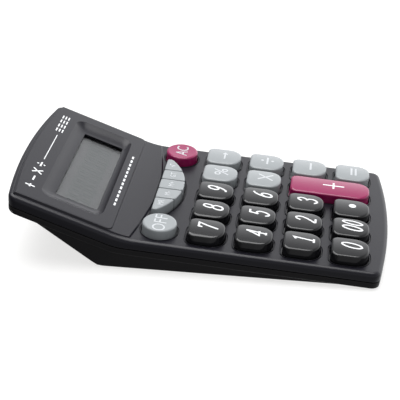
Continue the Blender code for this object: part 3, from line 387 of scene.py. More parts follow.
def on_sheet(u, t, h):
    """Keypad-frame points at height h over the bare folded panel."""
    turn = sheet_turn(t)
    past = np.maximum(t - BEND_START - BEND * FOLD, 0)
    v = np.minimum(t, BEND_START) + BEND * np.sin(turn) + past * math.cos(FOLD)
    n = PANEL_N + BEND * (1 - np.cos(turn)) + past * math.sin(FOLD)
    return np.stack([np.asarray(u, float), v - h * np.sin(turn), n + h * np.cos(turn)], axis=1)


def panel_n(v):
    """Height of the bare panel over a place in plan."""
    return on_sheet(np.zeros(np.shape(v)), t_of_v(v), 0)[:, 2]


def folded_n(v, n_level, m_level):
    """A level under the keypad that rises under the display, with a soft bend."""
    slope = PANEL_N + (v - FOLD_V) * math.tan(FOLD) + m_level / math.cos(FOLD)
    return smooth_max(np.full(np.shape(v), n_level), slope, 0.5)


def parting_n(v):
    return folded_n(v, PARTING_N, PARTING_M)


def band_n(v):
    return folded_n(v, PARTING_N - RIM_BAND, PARTING_M - RIM_BAND)


def level_n(v, height):
    """n of the level plane at this height over the table."""
    return (height - KEY_PLANE_Z - v * math.sin(TILT)) / math.cos(TILT)


def belly_n(v):
    """The underside: level, then up the back of the belly, then along the display end."""
    foot = level_n(BACK_FOOT_V, FOOT_HEIGHT)
    slope = foot + (v - BACK_FOOT_V) * math.tan(BACK_SLOPE)
    return smooth_min(smooth_max(level_n(v, FOOT_HEIGHT), slope, 0.55), band_n(v), 0.25)


def plan_ring(inset, height):
    """A ring of the case at an inset; height gives n from v."""
    plan = np.array(case_plan(inset))
    return np.column_stack([plan, height(plan[:, 1])])


def triangulate(boundary, holes, lines, points):
    """Triangles between a boundary and its holes that follow the given lines."""
    coords, edges = [], []
    for line, closed in [(boundary, True)] + [(hole, True) for hole in holes] + lines:
        base = len(coords)
        coords += [Vector((float(a), float(b))) for a, b in line]
        edges += [(base + i, base + i + 1) for i in range(len(line) - 1)]
        if closed:
            edges.append((base + len(line) - 1, base))
    coords += [Vector((float(a), float(b))) for a, b in points]
    verts, _, faces, *_ = delaunay_2d_cdt(coords, edges, [], 0, 1e-5, False)
    flat = np.array([tuple(v) for v in verts])
    tris = np.array([f for f in faces if len(f) == 3])
    middle = flat[tris].mean(axis=1)
    keep = inside(middle, boundary)
    for hole in holes:
        keep &= ~inside(middle, hole)
    return flat, tris[keep]


def inside(places, outline):
    """Whether each place is inside a closed outline."""
    outline = np.array(outline, float)
    found = np.zeros(len(places), bool)
    near = np.nonzero(((places >= outline.min(0)) & (places <= outline.max(0))).all(axis=1))[0]
    x, y = places[near, 0], places[near, 1]
    odd = np.zeros(len(near), bool)
    for (x0, y0), (x1, y1) in zip(outline, np.roll(outline, -1, axis=0)):
        if y0 != y1:
            odd ^= ((y0 > y) != (y1 > y)) & (x < (x1 - x0) * (y - y0) / (y1 - y0) + x0)
    found[near] = odd
    return found


def two_skins(flat, tris, upper, lower, boundary):
    """A sheet with thickness; walls close its holes, and the outer boundary is left open."""
    points = [tuple(p) for p in upper] + [tuple(p) for p in lower]
    count = len(flat)
    faces = [tuple(int(i) for i in t) for t in tris]
    faces += [tuple(int(i) + count for i in reversed(t)) for t in tris]
    uses = {}
    for a, b, c in tris:
        for first, second in ((a, b), (b, c), (c, a)):
            key = (min(first, second), max(first, second))
            uses.setdefault(key, []).append((int(first), int(second)))
    rim = {(round(float(a), 4), round(float(b), 4)) for a, b in boundary}
    on_rim = [(round(float(a), 4), round(float(b), 4)) in rim for a, b in flat]
    for found in uses.values():
        if len(found) == 1:
            a, b = found[0]
            if not (on_rim[a] and on_rim[b]):
                faces.append((b, a, a + count, b + count))
    return points, faces


# ---- Where the keys are ----
TO_KEYPAD = KEYPAD.inverted()


def centre_of(name):
    """The middle of a CAD node's box, in metres."""
    low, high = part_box(name)
    return (low + high) / 2


def plan_middle(name):
    """The middle of a CAD node in the keypad's plan."""
    place = TO_KEYPAD @ centre_of(name)
    return place[0], place[1]


GRID_KEYS = ["key_7", "key_8", "key_9", "key_percent", "key_backspace",
             "key_4", "key_5", "key_6", "key_multiply", "key_divide",
             "key_1", "key_2", "key_3", "key_subtract",
             "key_0", "key_00", "key_decimal_point", "key_equals"]
ROUND_KEYS = ["key_off", "key_all_clear"]
MEMORY_KEYS = ["key_memory_recall", "key_memory_minus", "key_memory_plus", "key_grand_total",
               "key_square_root"]
MEMORY_EDGES = [-MEMORY_HALF, -10.7, -3.57, 3.57, 10.7, MEMORY_HALF]
middles = {name: plan_middle(name) for name in GRID_KEYS + ROUND_KEYS + ["key_add"]}


def key_half_length(name):
    return KEY_HALF_LENGTH + (ROW_PITCH / 2 if name == "key_add" else 0)


def cap_outline(name, grow):
    """Outline of a cap, grown outwards."""
    u, v = middles[name]
    if name in ROUND_KEYS:
        return arc((u, v), ROUND_KEY_RADIUS + grow, 0, 360, 64)[:-1]
    half_v = key_half_length(name)
    return rounded((u - KEY_HALF_WIDTH, u + KEY_HALF_WIDTH), (v - half_v, v + half_v), KEY_BACK_CORNER,
                   KEY_FRONT_CORNER, -grow)


def crescent(grow, steps=48):
    """Outline of the five memory keys together, grown outwards."""
    reach = MEMORY_HALF + grow
    bow = [(u, MEMORY_APEX_V + MEMORY_ARC - math.sqrt((MEMORY_ARC + grow) ** 2 - u * u))
           for u in np.linspace(-reach, reach, steps + 1)]
    back = MEMORY_BACK_V + grow
    return bow + [(reach, back)] + stretch((reach, back), (-reach, back), steps // 2) + [(-reach, back)]


def cap_distance(u, v):
    """Distance outwards from the nearest cap's outline."""
    nearest = np.full(np.shape(u), 1e3)
    for name, (u0, v0) in middles.items():
        if name in ROUND_KEYS:
            away = np.hypot(u - u0, v - v0) - ROUND_KEY_RADIUS
        else:
            half_v = key_half_length(name)
            corner = np.where(v > v0, KEY_BACK_CORNER, KEY_FRONT_CORNER)
            x = np.abs(u - u0) - KEY_HALF_WIDTH + corner
            y = np.abs(v - v0) - half_v + corner
            away = np.hypot(np.maximum(x, 0), np.maximum(y, 0)) + np.minimum(np.maximum(x, y), 0) - corner
        nearest = np.minimum(nearest, away)
    bow = np.hypot(u, v - MEMORY_APEX_V - MEMORY_ARC) - MEMORY_ARC
    memory = np.maximum(np.maximum(np.abs(u) - MEMORY_HALF, v - MEMORY_BACK_V), bow)
    return np.minimum(nearest, memory)


# ---- Upper shell ----
# Round each key hole: a small rounded collar, a fine groove, then the flat panel.
COLLAR = [(0.35, -0.14), (0.4, -0.03), (0.47, 0.02), (0.6, 0.02), (0.66, -0.04), (0.69, -0.45), (0.93, -0.45),
          (0.96, -0.05), (1.04, 0.0), (1.2, 0.0)]


def box_distance(u, s, half, ends, front_corner, back_corner):
    """Signed distance to a rounded rectangle that is centred on u = 0."""
    middle, half_s = (ends[0] + ends[1]) / 2, (ends[1] - ends[0]) / 2
    corner = np.where(s > middle, back_corner, front_corner)
    x = np.abs(u) - half + corner
    y = np.abs(s - middle) - half_s + corner
    return np.hypot(np.maximum(x, 0), np.maximum(y, 0)) + np.minimum(np.maximum(x, y), 0) - corner


def step_v(u):
    """The curved step where the keypad ends and the display end begins."""
    return STEP_MIDDLE_V + STEP_SWEEP * (np.abs(u) / STEP_HALF) ** 1.5


def rim_distance(u, v):
    """Distance inwards from the case's sides and display end."""
    back = BACK_BOW - np.hypot(u, v - (BACK_V - BACK_BOW))
    return np.minimum(HALF_WIDTH - np.abs(u), back)


def shoulder(away):
    """How the display's plate falls off towards the rim."""
    return 1 - (1 - np.clip((away - RIM_ROUND) / 1.1, 0, 1)) ** 2


def top_height(u, t, v):
    """Height over the bare panel: deck, plate, the trough round the window and the key collars."""
    s = t - T_SHIFT
    away = rim_distance(u, v)
    deck = DECK_RISE * ease((t - step_v(u)) / 0.7 + 0.5) * ease((away - RIM_ROUND) / 0.7)
    plate = box_distance(u, s, PLATE_HALF, PLATE_S, PLATE_FRONT_CORNER, PLATE_BACK_CORNER)
    height = deck + (PLATE_RISE - deck) * ease((0.02 - plate) / 0.3) * shoulder(away)
    pocket = box_distance(u, s, POCKET_HALF, POCKET_S, POCKET_CORNER, POCKET_CORNER)
    window = box_distance(u, s, WINDOW_HALF, WINDOW_S, WINDOW_CORNER, WINDOW_CORNER)
    share = -pocket / np.maximum(-pocket + np.maximum(window, 0), 1e-6)
    share = np.where(pocket < 0, np.clip(share, 0, 1), 0)
    share = (share + np.sqrt(share ** 2 + 0.0004) - 0.02) / (1 + math.sqrt(1.0004) - 0.02)
    height = height - (PLATE_RISE - POCKET_FLOOR) * (1 - (1 - np.clip(share, 0, 1)) ** 2.2)
    away = cap_distance(u, v)
    collar = np.interp(away, [d for d, _ in COLLAR], [h for _, h in COLLAR])
    return height + np.where(away < COLLAR[-1][0], collar, 0)


def sheet_places(outline):
    """Plan places as (u, t) on the sheet."""
    outline = np.array(outline, float)
    return np.column_stack([outline[:, 0], t_of_v(outline[:, 1])])


def display_places(outline):
    """Display-frame places as (u, t) on the sheet."""
    outline = np.array(outline, float)
    return np.column_stack([outline[:, 0], outline[:, 1] + T_SHIFT])


def pocket_outline(inset=0.0):
    return rounded((-POCKET_HALF, POCKET_HALF), POCKET_S, POCKET_CORNER, POCKET_CORNER, inset, 12, 16)


def window_outline(steps=12, along=16):
    return rounded((-WINDOW_HALF, WINDOW_HALF), WINDOW_S, WINDOW_CORNER, WINDOW_CORNER, 0.0, steps, along)


def feature_lines(outlines):
    """Lines on the sheet that the triangles of the upper shell follow."""
    lines = [(sheet_places(outline(grow)), True) for outline in outlines for grow, _ in COLLAR[1:]]
    for inset in (1.82, 1.95, 2.1, 2.25, 2.4, 2.6, 2.8, 3.1, 3.4):
        lines.append((sheet_places(case_plan(inset)), True))
    half = HALF_WIDTH - RIM_ROUND - 0.02
    for offset in (-0.6, -0.38, -0.28, -0.18, -0.07, 0.07, 0.18, 0.28, 0.38, 0.6):
        across = np.linspace(-half, half, 90)
        lines.append((np.column_stack([across, step_v(across) + offset]), False))
    for t in np.arange(BEND_START - 0.8, BEND_START + BEND * FOLD + 1.2, 0.9):
        across = np.linspace(-half, half, 60)
        lines.append((np.column_stack([across, np.full(60, t)]), False))
    corners = (PLATE_BACK_CORNER, PLATE_FRONT_CORNER)
    for inset in (-0.3, -0.05, 0.02, 0.08, 0.14, 0.2, 0.26, 0.32, 0.5):
        plate = rounded((-PLATE_HALF, PLATE_HALF), PLATE_S, *corners, inset, 10, 14)
        plate = [place for place in plate if place[1] < 41]
        split = max(range(len(plate)), key=lambda i: math.dist(plate[i], plate[i - 1]))
        lines.append((display_places(plate[split:] + plate[:split]), False))
    start, end = np.array(pocket_outline()), np.array(window_outline())
    lines.append((display_places(pocket_outline(-0.15)), True))
    for share in (0, 0.02, 0.05, 0.1, 0.16, 0.24, 0.33, 0.43, 0.54, 0.66, 0.78, 0.9):
        lines.append((display_places(start * (1 - share) + end * share), True))
    return lines


def add_top_case():
    boundary = sheet_places(case_plan(RIM_ROUND))
    outlines = [lambda grow, name=name: cap_outline(name, grow) for name in middles] + [crescent]
    holes = [sheet_places(outline(HOLE_PLAY)) for outline in outlines]
    holes.append(display_places(window_outline(8, 12)))
    seeds = [(u, t) for u in np.arange(-34, 34.1, 2.4) for t in np.arange(-62, 76, 2.4)]
    flat, tris = triangulate(boundary, holes, feature_lines(outlines), seeds)
    u, t = flat[:, 0], flat[:, 1]
    v = on_sheet(u, t, 0)[:, 1]
    upper = on_sheet(u, t, top_height(u, t, v))
    lower = on_sheet(u, t, np.full(len(u), -PANEL_WALL))
    sheet = two_skins(flat, tris, upper, lower, boundary)
    rings = []
    for turn in np.radians(np.linspace(0, 90, 10)):
        drop = RIM_ROUND * (1 - math.cos(turn))
        rings.append(plan_ring(RIM_ROUND * (1 - math.sin(turn)), lambda v, drop=drop: panel_n(v) - drop))
    for inset, rise in ((0, 0.3), (0.04, 0.12), (0.12, 0.03), (0.28, 0), (SIDE_WALL, 0)):
        rings.append(plan_ring(inset, lambda v, rise=rise: parting_n(v) + rise))
    rings.append(plan_ring(SIDE_WALL, lambda v: panel_n(v) - PANEL_WALL - 0.8))
    plan = np.array(case_plan(RIM_ROUND))
    rings.append(on_sheet(plan[:, 0], t_of_v(plan[:, 1]), np.full(len(plan), -PANEL_WALL)))
    points, faces = join(sheet, loft(rings, False, False))
    piece("top_shell", points, faces, charcoal, "case", "charcoal_case", ["top_case"], KEYPAD)


# ---- Keys ----
def cap_top(x):
    """The crowned top of a cap: it falls away to both sides of its middle line."""
    return KEY_CROWN - x * x / (2 * KEY_CROWN_RADIUS)


def cap_mesh(outline, top, crown):
    """A cap from its outline(inset): rounded edge, crowned top, wall, flange and hollow underside."""
    face = outline(1.1)
    low, high = np.min(face, axis=0), np.max(face, axis=0)
    across, along = (np.arange(low[axis] + 0.5, high[axis], 0.95) for axis in (0, 1))
    seeds = [(x, y) for x in across for y in along]
    flat, tris = triangulate(face, [], [(outline(1.5), True)], seeds)
    crowned = [(x, y, top + crown(x, y)) for x, y in flat]
    rings = [[(x, y, top + crown(x, y)) for x, y in face]]
    for turn in np.radians(np.linspace(0, 90, 8)):
        inset = KEY_ROUND * (1 - math.sin(turn))
        drop = KEY_ROUND * (1 - math.cos(turn))
        rings.append([(x, y, top + crown(x, y) * math.cos(turn) - drop) for x, y in outline(inset)])
    for inset, n in ((0, FLANGE_TOP), (-FLANGE_LIP, FLANGE_TOP), (-FLANGE_LIP, FLANGE_BOTTOM)):
        rings.append(ring_at(outline(inset), n))
    for n in (FLANGE_BOTTOM, top - KEY_ROOF):
        rings.append(ring_at(outline(KEY_WALL), n))
    return join((crowned, [tuple(int(i) for i in t) for t in tris]), loft(rings, cap_first=False))


# Strokes of the printed symbols, in a box one unit high: lists of polylines.
SYMBOLS = {
    "plus": [[(-0.28, 0), (0.28, 0)], [(0, -0.5), (0, 0.5)]],
    "minus": [[(-0.5, 0), (0.5, 0)]],
    "times": [[(-0.36, -0.5), (0.36, 0.5)], [(-0.36, 0.5), (0.36, -0.5)]],
    "divide": [[(-0.5, 0), (0.5, 0)]],
    "equals": [[(-0.5, 0.15), (0.5, 0.15)], [(-0.5, -0.15), (0.5, -0.15)]],
    "slash": [[(-0.32, -0.5), (0.32, 0.5)]],
    "arrow": [[(-0.5, 0), (0.4, 0)], [(0.2, 0.18), (0.46, 0), (0.2, -0.18)]],
    "root": [[(-0.42, 0.02), (-0.26, 0.1), (-0.06, -0.4), (0.14, 0.4), (0.5, 0.4)]],
}
# Strokes of the digits in a box two units wide and high: curved (True) or straight (False).
DIGITS = {
    "0": [(True, [(0, 1), (-0.72, 0.7), (-1, 0), (-0.72, -0.7), (0, -1), (0.72, -0.7), (1, 0), (0.72, 0.7),
                  (0, 1)])],
    "1": [(False, [(-0.6, 0.78), (0.2, 0.98), (0.2, -1)]), (False, [(-0.65, -1), (1.0, -1)])],
    "2": [(True, [(-0.85, 0.55), (-0.45, 0.93), (0.25, 0.98), (0.85, 0.6), (0.7, 0.12), (0, -0.42),
                  (-0.9, -0.98)]),
          (False, [(-0.9, -1), (1.0, -1)])],
    "3": [(True, [(-0.8, 0.62), (-0.35, 0.95), (0.35, 0.97), (0.85, 0.6), (0.5, 0.18), (-0.1, 0.06)]),
          (True, [(-0.1, 0.06), (0.62, -0.08), (0.95, -0.48), (0.55, -0.9), (-0.2, -1), (-0.95, -0.7)])],
    "4": [(False, [(0.4, 1), (-0.95, -0.32), (1.05, -0.32)]), (False, [(0.4, 1), (0.4, -1)]),
          (False, [(-0.15, -1), (0.95, -1)])],
    "5": [(False, [(1.0, 0.98), (-0.45, 0.98), (-0.6, 0.12)]),
          (True, [(-0.6, 0.12), (0.1, 0.28), (0.8, 0.02), (0.85, -0.55), (0.3, -0.95), (-0.4, -0.97),
                  (-0.95, -0.62)])],
    "6": [(True, [(0.9, 0.92), (0.25, 0.86), (-0.45, 0.42), (-0.88, -0.25), (-0.68, -0.82), (0, -1),
                  (0.68, -0.8), (0.85, -0.3), (0.45, 0.06), (-0.2, 0.06), (-0.8, -0.25)])],
    "7": [(False, [(-0.95, 0.6), (-0.9, 0.98), (1.0, 0.98), (0.25, 0.1), (-0.3, -1)])],
    "8": [(True, [(0, 0.06), (0.7, 0.28), (0.62, 0.84), (0, 1), (-0.62, 0.84), (-0.7, 0.28), (0, 0.06)]),
          (True, [(0, 0.06), (0.85, -0.22), (0.8, -0.82), (0, -1), (-0.8, -0.82), (-0.85, -0.22),
                  (0, 0.06)])],
}
# A nine is a six turned round.
DIGITS["9"] = [(True, [(-x, -y) for x, y in DIGITS["6"][0][1]])]
DIGIT_HALF_WIDTH, DIGIT_HALF_HEIGHT, DIGIT_SLANT, DIGIT_STROKE = 1.42, 3.55, 0.2, 0.74
DIGIT_PITCH, PAIR_NARROWING, DIGIT_PLACE = 3.7, 0.86, (0.75, -0.45)
INK_RISE, INK_DEPTH = 0.025, 0.05


def curved(line, steps=6):
    """A smooth line through the given places; it closes on itself when the ends meet."""
    line = [Vector(p) for p in line]
    closed = (line[0] - line[-1]).length < 1e-6
    before = [line[-2] if closed else 2 * line[0] - line[1]] + line
    around = before + [line[1] if closed else 2 * line[-1] - line[-2]]
    made = []
    for i in range(1, len(around) - 2):
        a, b, c, d = around[i - 1:i + 3]
        for k in range(steps):
            x = k / steps
            made.append((2 * b + (c - a) * x + (2 * a - 5 * b + 4 * c - d) * x * x
                         + (3 * b - a - 3 * c + d) * x ** 3) / 2)
    return made + [line[-1]]


def stroke(line, width):
    """A stroke of even width with square ends, as a solid strip at z 0 to 1."""
    fine = [line[0]]
    for first, second in zip(line, line[1:]):
        fine += stretch(first, second, int(math.dist(first, second) / 0.7)) + [second]
    line = [Vector(p) for p in fine]
    points, faces = [], []
    for i, point in enumerate(line):
        before = (point - line[i - 1]).normalized() if i else None
        after = (line[i + 1] - point).normalized() if i + 1 < len(line) else None
        along = ((before or after) + (after or before)).normalized()
        side = Vector((-along.y, along.x))
        reach = width / 2 / max(0.4, side.dot(Vector((-(after or before).y, (after or before).x))))
        for end, z in ((1, 1), (-1, 1), (-1, 0), (1, 0)):
            place = point + side * reach * end
            points.append((place.x, place.y, z))
        if i:
            low = 4 * (i - 1)
            for a, b in ((0, 1), (1, 2), (2, 3), (3, 0)):
                faces.append((low + a, low + b, low + 4 + b, low + 4 + a))
    return points, faces + [(3, 2, 1, 0), tuple(range(4 * len(line) - 4, 4 * len(line)))]


def disc(centre, radius, steps=20):
    return arc(centre, radius, 0, 360, steps)[:-1]


def dot(centre, radius, steps=20):
    """A round dot as solid print at z 0 to 1."""
    outline = disc(centre, radius, steps)
    return loft([ring_at(outline, 0), ring_at(outline, 1)])


def ring_print(centre, radius, width):
    """A printed ring."""
    return stroke([(x, y) for x, y in arc(centre, radius, 0, 360, 24)], width)


def symbol(name, size, width, centre=(0, 0)):
    """The strokes of one symbol."""
    u, v = centre
    return join(*[stroke([(u + x * size, v + y * size) for x, y in line], width) for line in SYMBOLS[name]])


def digit_print(digits):
    """One or two slanted digits, and where their middle sits on the key."""
    parts = []
    half_width = DIGIT_HALF_WIDTH * (PAIR_NARROWING if len(digits) > 1 else 1)
    for index, digit in enumerate(digits):
        shift = DIGIT_PITCH * (index - (len(digits) - 1) / 2)
        for is_curved, line in DIGITS[digit]:
            line = [(x * half_width, y * DIGIT_HALF_HEIGHT) for x, y in line]
            line = [(x + y * DIGIT_SLANT + shift, y) for x, y in line]
            parts.append(stroke(curved(line) if is_curved else line, DIGIT_STROKE))
    return join(*parts), DIGIT_PLACE


def text_print(body, height, slant, stretch_x):
    """Letters as solid print, centred, with z 0 at the bottom and 1 at the top."""
    curve = bpy.data.curves.new("letters", "FONT")
    curve.body = body
    curve.shear = slant
    curve.extrude = 0.5
    curve.resolution_u = 5
    drawn = bpy.data.objects.new("letters", curve)
    bpy.context.scene.collection.objects.link(drawn)
    graph = bpy.context.evaluated_depsgraph_get()
    mesh = bpy.data.meshes.new_from_object(drawn.evaluated_get(graph))
    bpy.data.objects.remove(drawn, do_unlink=True)
    places = np.array([tuple(vert.co) for vert in mesh.vertices])
    low, high = places.min(0), places.max(0)
    scale = height / (high[1] - low[1])
    places = (places - (low + high) / 2) * [scale * stretch_x, scale, 1] + [0, 0, 0.5]
    return [tuple(p) for p in places], [tuple(face.vertices) for face in mesh.polygons]


def lay(part, shift, surface):
    """Lays print on a surface: z runs from just under it to the ink's thickness over it."""
    points, faces = part
    laid = []
    for x, y, z in points:
        x, y = x + shift[0], y + shift[1]
        laid.append((x, y, float(surface(x, y)) + INK_RISE - INK_DEPTH * (1 - z)))
    return laid, faces


# The print on each of the other keys, and where its middle sits on the key.
LEGENDS = {
    "key_percent": lambda: (join(symbol("slash", 5.7, 0.6), ring_print((-1.35, 1.3), 0.95, 0.6),
                                 ring_print((1.35, -1.3), 0.95, 0.6)), (0.25, -0.25)),
    "key_multiply": lambda: (symbol("times", 5.7, 0.72), (0.5, -0.5)),
    "key_divide": lambda: (join(symbol("divide", 5.4, 0.8), dot((0, 2.0), 0.58), dot((0, -2.0), 0.58)),
                           (0.2, -0.2)),
    "key_subtract": lambda: (symbol("minus", 5.5, 0.8), (0.2, -0.4)),
    "key_equals": lambda: (symbol("equals", 5.6, 0.8), (0.3, -0.35)),
    "key_add": lambda: (symbol("plus", 8.2, 0.74), (0.55, -1.3)),
    "key_backspace": lambda: (symbol("arrow", 4.9, 0.66), (-0.1, -0.2)),
    "key_decimal_point": lambda: (dot((0, 0), 1.35, 28), (0.9, -0.25)),
    "key_off": lambda: (text_print("OFF", 4.7, 0.06, 0.92), (-0.45, -0.1)),
    "key_all_clear": lambda: (text_print("AC", 4.7, 0.08, 0.8), (0.1, 0.1)),
}


def add_cap(name):
    """One key of the grid, the tall plus key or a round key, with its legend."""
    u, v = middles[name]
    if name in ROUND_KEYS:
        def outline(inset):
            return arc((0, 0), max(ROUND_KEY_RADIUS - inset, 0.3), 0, 360, 64)[:-1]
    else:
        half_v = key_half_length(name)

        def outline(inset):
            return rounded((-KEY_HALF_WIDTH, KEY_HALF_WIDTH), (-half_v, half_v), KEY_BACK_CORNER,
                           KEY_FRONT_CORNER, inset, 9, 5)

    def crown(x, y):
        if name in ROUND_KEYS:
            return -0.12 * (1 - min(1.0, math.hypot(x, y) / ROUND_KEY_RADIUS) ** 2)
        return cap_top(x)

    if name in ("key_all_clear", "key_add"):
        look, slot = magenta_key, "magenta_key_plastic"
    elif name in ("key_percent", "key_backspace", "key_multiply", "key_divide", "key_subtract",
                  "key_equals", "key_off"):
        look, slot = grey_key, "grey_key_plastic"
    else:
        look, slot = black_key, "black_key_plastic"
    top = ROUND_KEY_TOP if name in ROUND_KEYS else KEY_TOP
    to_world = KEYPAD @ Matrix.Translation((u, v, 0))
    points, faces = cap_mesh(outline, top, crown)
    piece("cap_" + name[4:], points, faces, look, name, slot, [name], to_world, 40)
    printed, shift = LEGENDS[name]() if name in LEGENDS else digit_print(name[4:])
    points, faces = lay(printed, shift, lambda x, y: top + crown(x, y))
    colour = pale_ink if look == grey_key or name == "key_all_clear" else ink
    piece("legend_" + name[4:], points, faces, colour, name, slot, (), to_world, 40, 0.0005)


MEMORY_LEGENDS = {"key_memory_recall": "MR", "key_memory_minus": "M-", "key_memory_plus": "M+",
                  "key_grand_total": "GT"}


def add_memory_key(index, name):
    """One slice of the crescent; its corners are softly rounded."""
    left, right = MEMORY_EDGES[index] + 0.2, MEMORY_EDGES[index + 1] - 0.2
    if index == 0:
        left -= 0.2
    if index == 4:
        right += 0.2
    middle = (left + right) / 2
    shift = {0: 1.2, 4: -1.2}.get(index, 0.0)
    hub_u = middle + shift
    bow_v = MEMORY_APEX_V + MEMORY_ARC - math.sqrt(MEMORY_ARC ** 2 - hub_u ** 2)
    hub = Vector((hub_u, (MEMORY_BACK_V + bow_v) / 2))

    away = hub - Vector((0, MEMORY_APEX_V + MEMORY_ARC))

    def outline(inset):
        points = []
        radius = MEMORY_ARC - inset
        for i in range(96):
            turn = 2 * math.pi * (i + 0.5) / 96
            ray = Vector((math.cos(turn), math.sin(turn)))
            reaches = []
            for axis, limit in ((0, left + inset), (0, right - inset), (1, MEMORY_BACK_V - inset)):
                towards = ray[axis] * (1 if limit > hub[axis] else -1)
                if towards > 1e-4:
                    reaches.append(max(abs(limit - hub[axis]), 0.05) / towards)
            along = away.dot(ray)
            room = max(along ** 2 - away.length_squared + radius ** 2, 0)
            reaches.append(max(0.05, -along + math.sqrt(room)))
            reach = sum(r ** -18 for r in reaches) ** (-1 / 18)
            points.append((ray[0] * reach, ray[1] * reach))
        return points

    rings = []
    depth = min(2.2, (MEMORY_BACK_V - bow_v) / 2 - 0.6)
    for inset in (depth, depth * 0.75, 0.9):
        rings.append(ring_at(outline(inset), MEMORY_TOP))
    for turn in np.radians(np.linspace(0, 90, 7)):
        rings.append(ring_at(outline(0.5 * (1 - math.sin(turn))), MEMORY_TOP - 0.5 * (1 - math.cos(turn))))
    rings.append(ring_at(outline(0), FLANGE_BOTTOM))
    points, faces = loft(rings)
    to_world = KEYPAD @ Matrix.Translation((hub[0], hub[1], 0))
    piece("cap_" + name[4:], points, faces, grey_key, name, "grey_key_plastic", [name], to_world, 40)
    if name in MEMORY_LEGENDS:
        printed = text_print(MEMORY_LEGENDS[name], 2.1, 0.1, 0.88)
    else:
        printed = symbol("root", 2.5, 0.36)
    points, faces = lay(printed, (-shift * 0.4, 0.2), lambda x, y: MEMORY_TOP)
    piece("legend_" + name[4:], points, faces, pale_ink, name, "grey_key_plastic", (), to_world, 40, 0.0005)


# ---- Display ----
def slab(half_u, s, m, corner, edge, steps=3):
    """A flat piece with rounded corners and softened edges."""
    span = (-half_u, half_u)
    levels = [(edge + 0.3, m[0])]
    for turn in np.radians(np.linspace(90, 0, steps + 1)):
        levels.append((edge * (1 - math.cos(turn)), m[0] + edge * (1 - math.sin(turn))))
    levels += [(inset, m[0] + m[1] - n) for inset, n in reversed(levels)]
    return loft([ring_at(rounded(span, s, corner, corner, inset, 5, 3), n) for inset, n in levels])


DIGIT_SEGMENTS = [((0.1, y), (0.9, y)) for y in (1, 0.5, 0)]
DIGIT_SEGMENTS += [((x, y), (x, y + 0.4)) for y in (0.55, 0.05) for x in (0, 1)]


def add_display():
    lens = slab(LENS_HALF, LENS_S, LENS_M, 0.8, 0.12)
    piece("window_lens", *lens, clear, "case", "clear_acrylic", ["display_window"], DISPLAY, 40)
    low, high = GLASS_M
    body = slab(GLASS_HALF, GLASS_S, (low, high - POLARISER), 0.5, 0.1)
    piece("lcd_glass_stack", *body, glass_edge, "case", "lcd_glass", ["lcd_panel"], DISPLAY, 40)
    sheet = slab(GLASS_HALF - 0.4, (GLASS_S[0] + 0.4, GLASS_S[1] - 0.4), (high - POLARISER, high), 0.4, 0.06)
    piece("lcd_polariser", *sheet, lcd_face, "case", "lcd_glass", (), DISPLAY, 40)
    parts = []
    pitch, width, tall, base = 3.62, 2.35, 8.6, 15.6
    for digit in range(12):
        left = -21.6 + digit * pitch
        for ends in DIGIT_SEGMENTS:
            line = [(left + x * width + (y - 0.5) * 0.9, base + y * tall) for x, y in ends]
            parts.append(stroke(line, 0.42))
        parts.append(dot((left + width + 0.55, base - 0.1), 0.24, 10))
        if digit % 3 == 2 and digit < 11:
            parts.append(stroke([(left + width + 0.9, base - 0.1), (left + width + 0.45, base - 1.1)], 0.3))
    for row in range(4):
        parts.append(stroke([(-23.1, 16.4 + row * 2.1), (-22.5, 16.4 + row * 2.1)], 0.35))
    points, faces = lay(join(*parts), (0, 0), lambda x, y: high)
    piece("lcd_segments", points, faces, segment, "case", "lcd_glass", (), DISPLAY, 40, 0.0005)


def add_prints():
    """Generic marks in place of the lettering on the display's plate."""
    parts = []
    s_top, s_low = 37.4, 7.0
    for index, name in enumerate(("plus", "minus", "times", "divide")):
        u = -27.5 + index * 5.2
        parts.append(symbol(name, 3.0 if name in ("minus", "divide") else 3.6, 0.62, (u, s_top)))
        if name == "divide":
            parts += [dot((u, s_top + 1.2), 0.4), dot((u, s_top - 1.2), 0.4)]
    parts.append(stroke([(-8.0, s_top), (12.0, s_top)], 0.3))
    for index in range(4):
        left = 15.0 + index * 3.6
        for offset in (-1.1, 0.1, 1.3):
            parts.append(stroke([(left, s_top + offset), (left + 2.4, s_top + offset)], 0.5))
    for index in range(13):
        left = -19.5 + index * 3.0
        parts.append(stroke([(left, s_low), (left + 1.9, s_low)], 0.75))
    points, faces = lay(join(*parts), (0, 0), lambda x, y: PLATE_RISE)
    piece("plate_print", points, faces, ink, "case", "charcoal_case", (), DISPLAY, 40, 0.0005)


# ---- Lower shell ----
def plan_of_world(x, y, z):
    place = TO_KEYPAD @ (Vector((x, y, z)) * MM)
    return place[0], place[1]


def pillar(centre, foot, seat, top, radius):
    """Pillar round a screw: a wide well up to the seat of the head, then the hole for the shank."""
    profile = [(WELL_RADIUS, foot), (WELL_RADIUS, seat), (SCREW_HOLE, seat), (SCREW_HOLE, top),
               (radius, top), (radius, foot), (WELL_RADIUS, foot)]
    return loft(round_rings(profile, 36, centre), False, False)


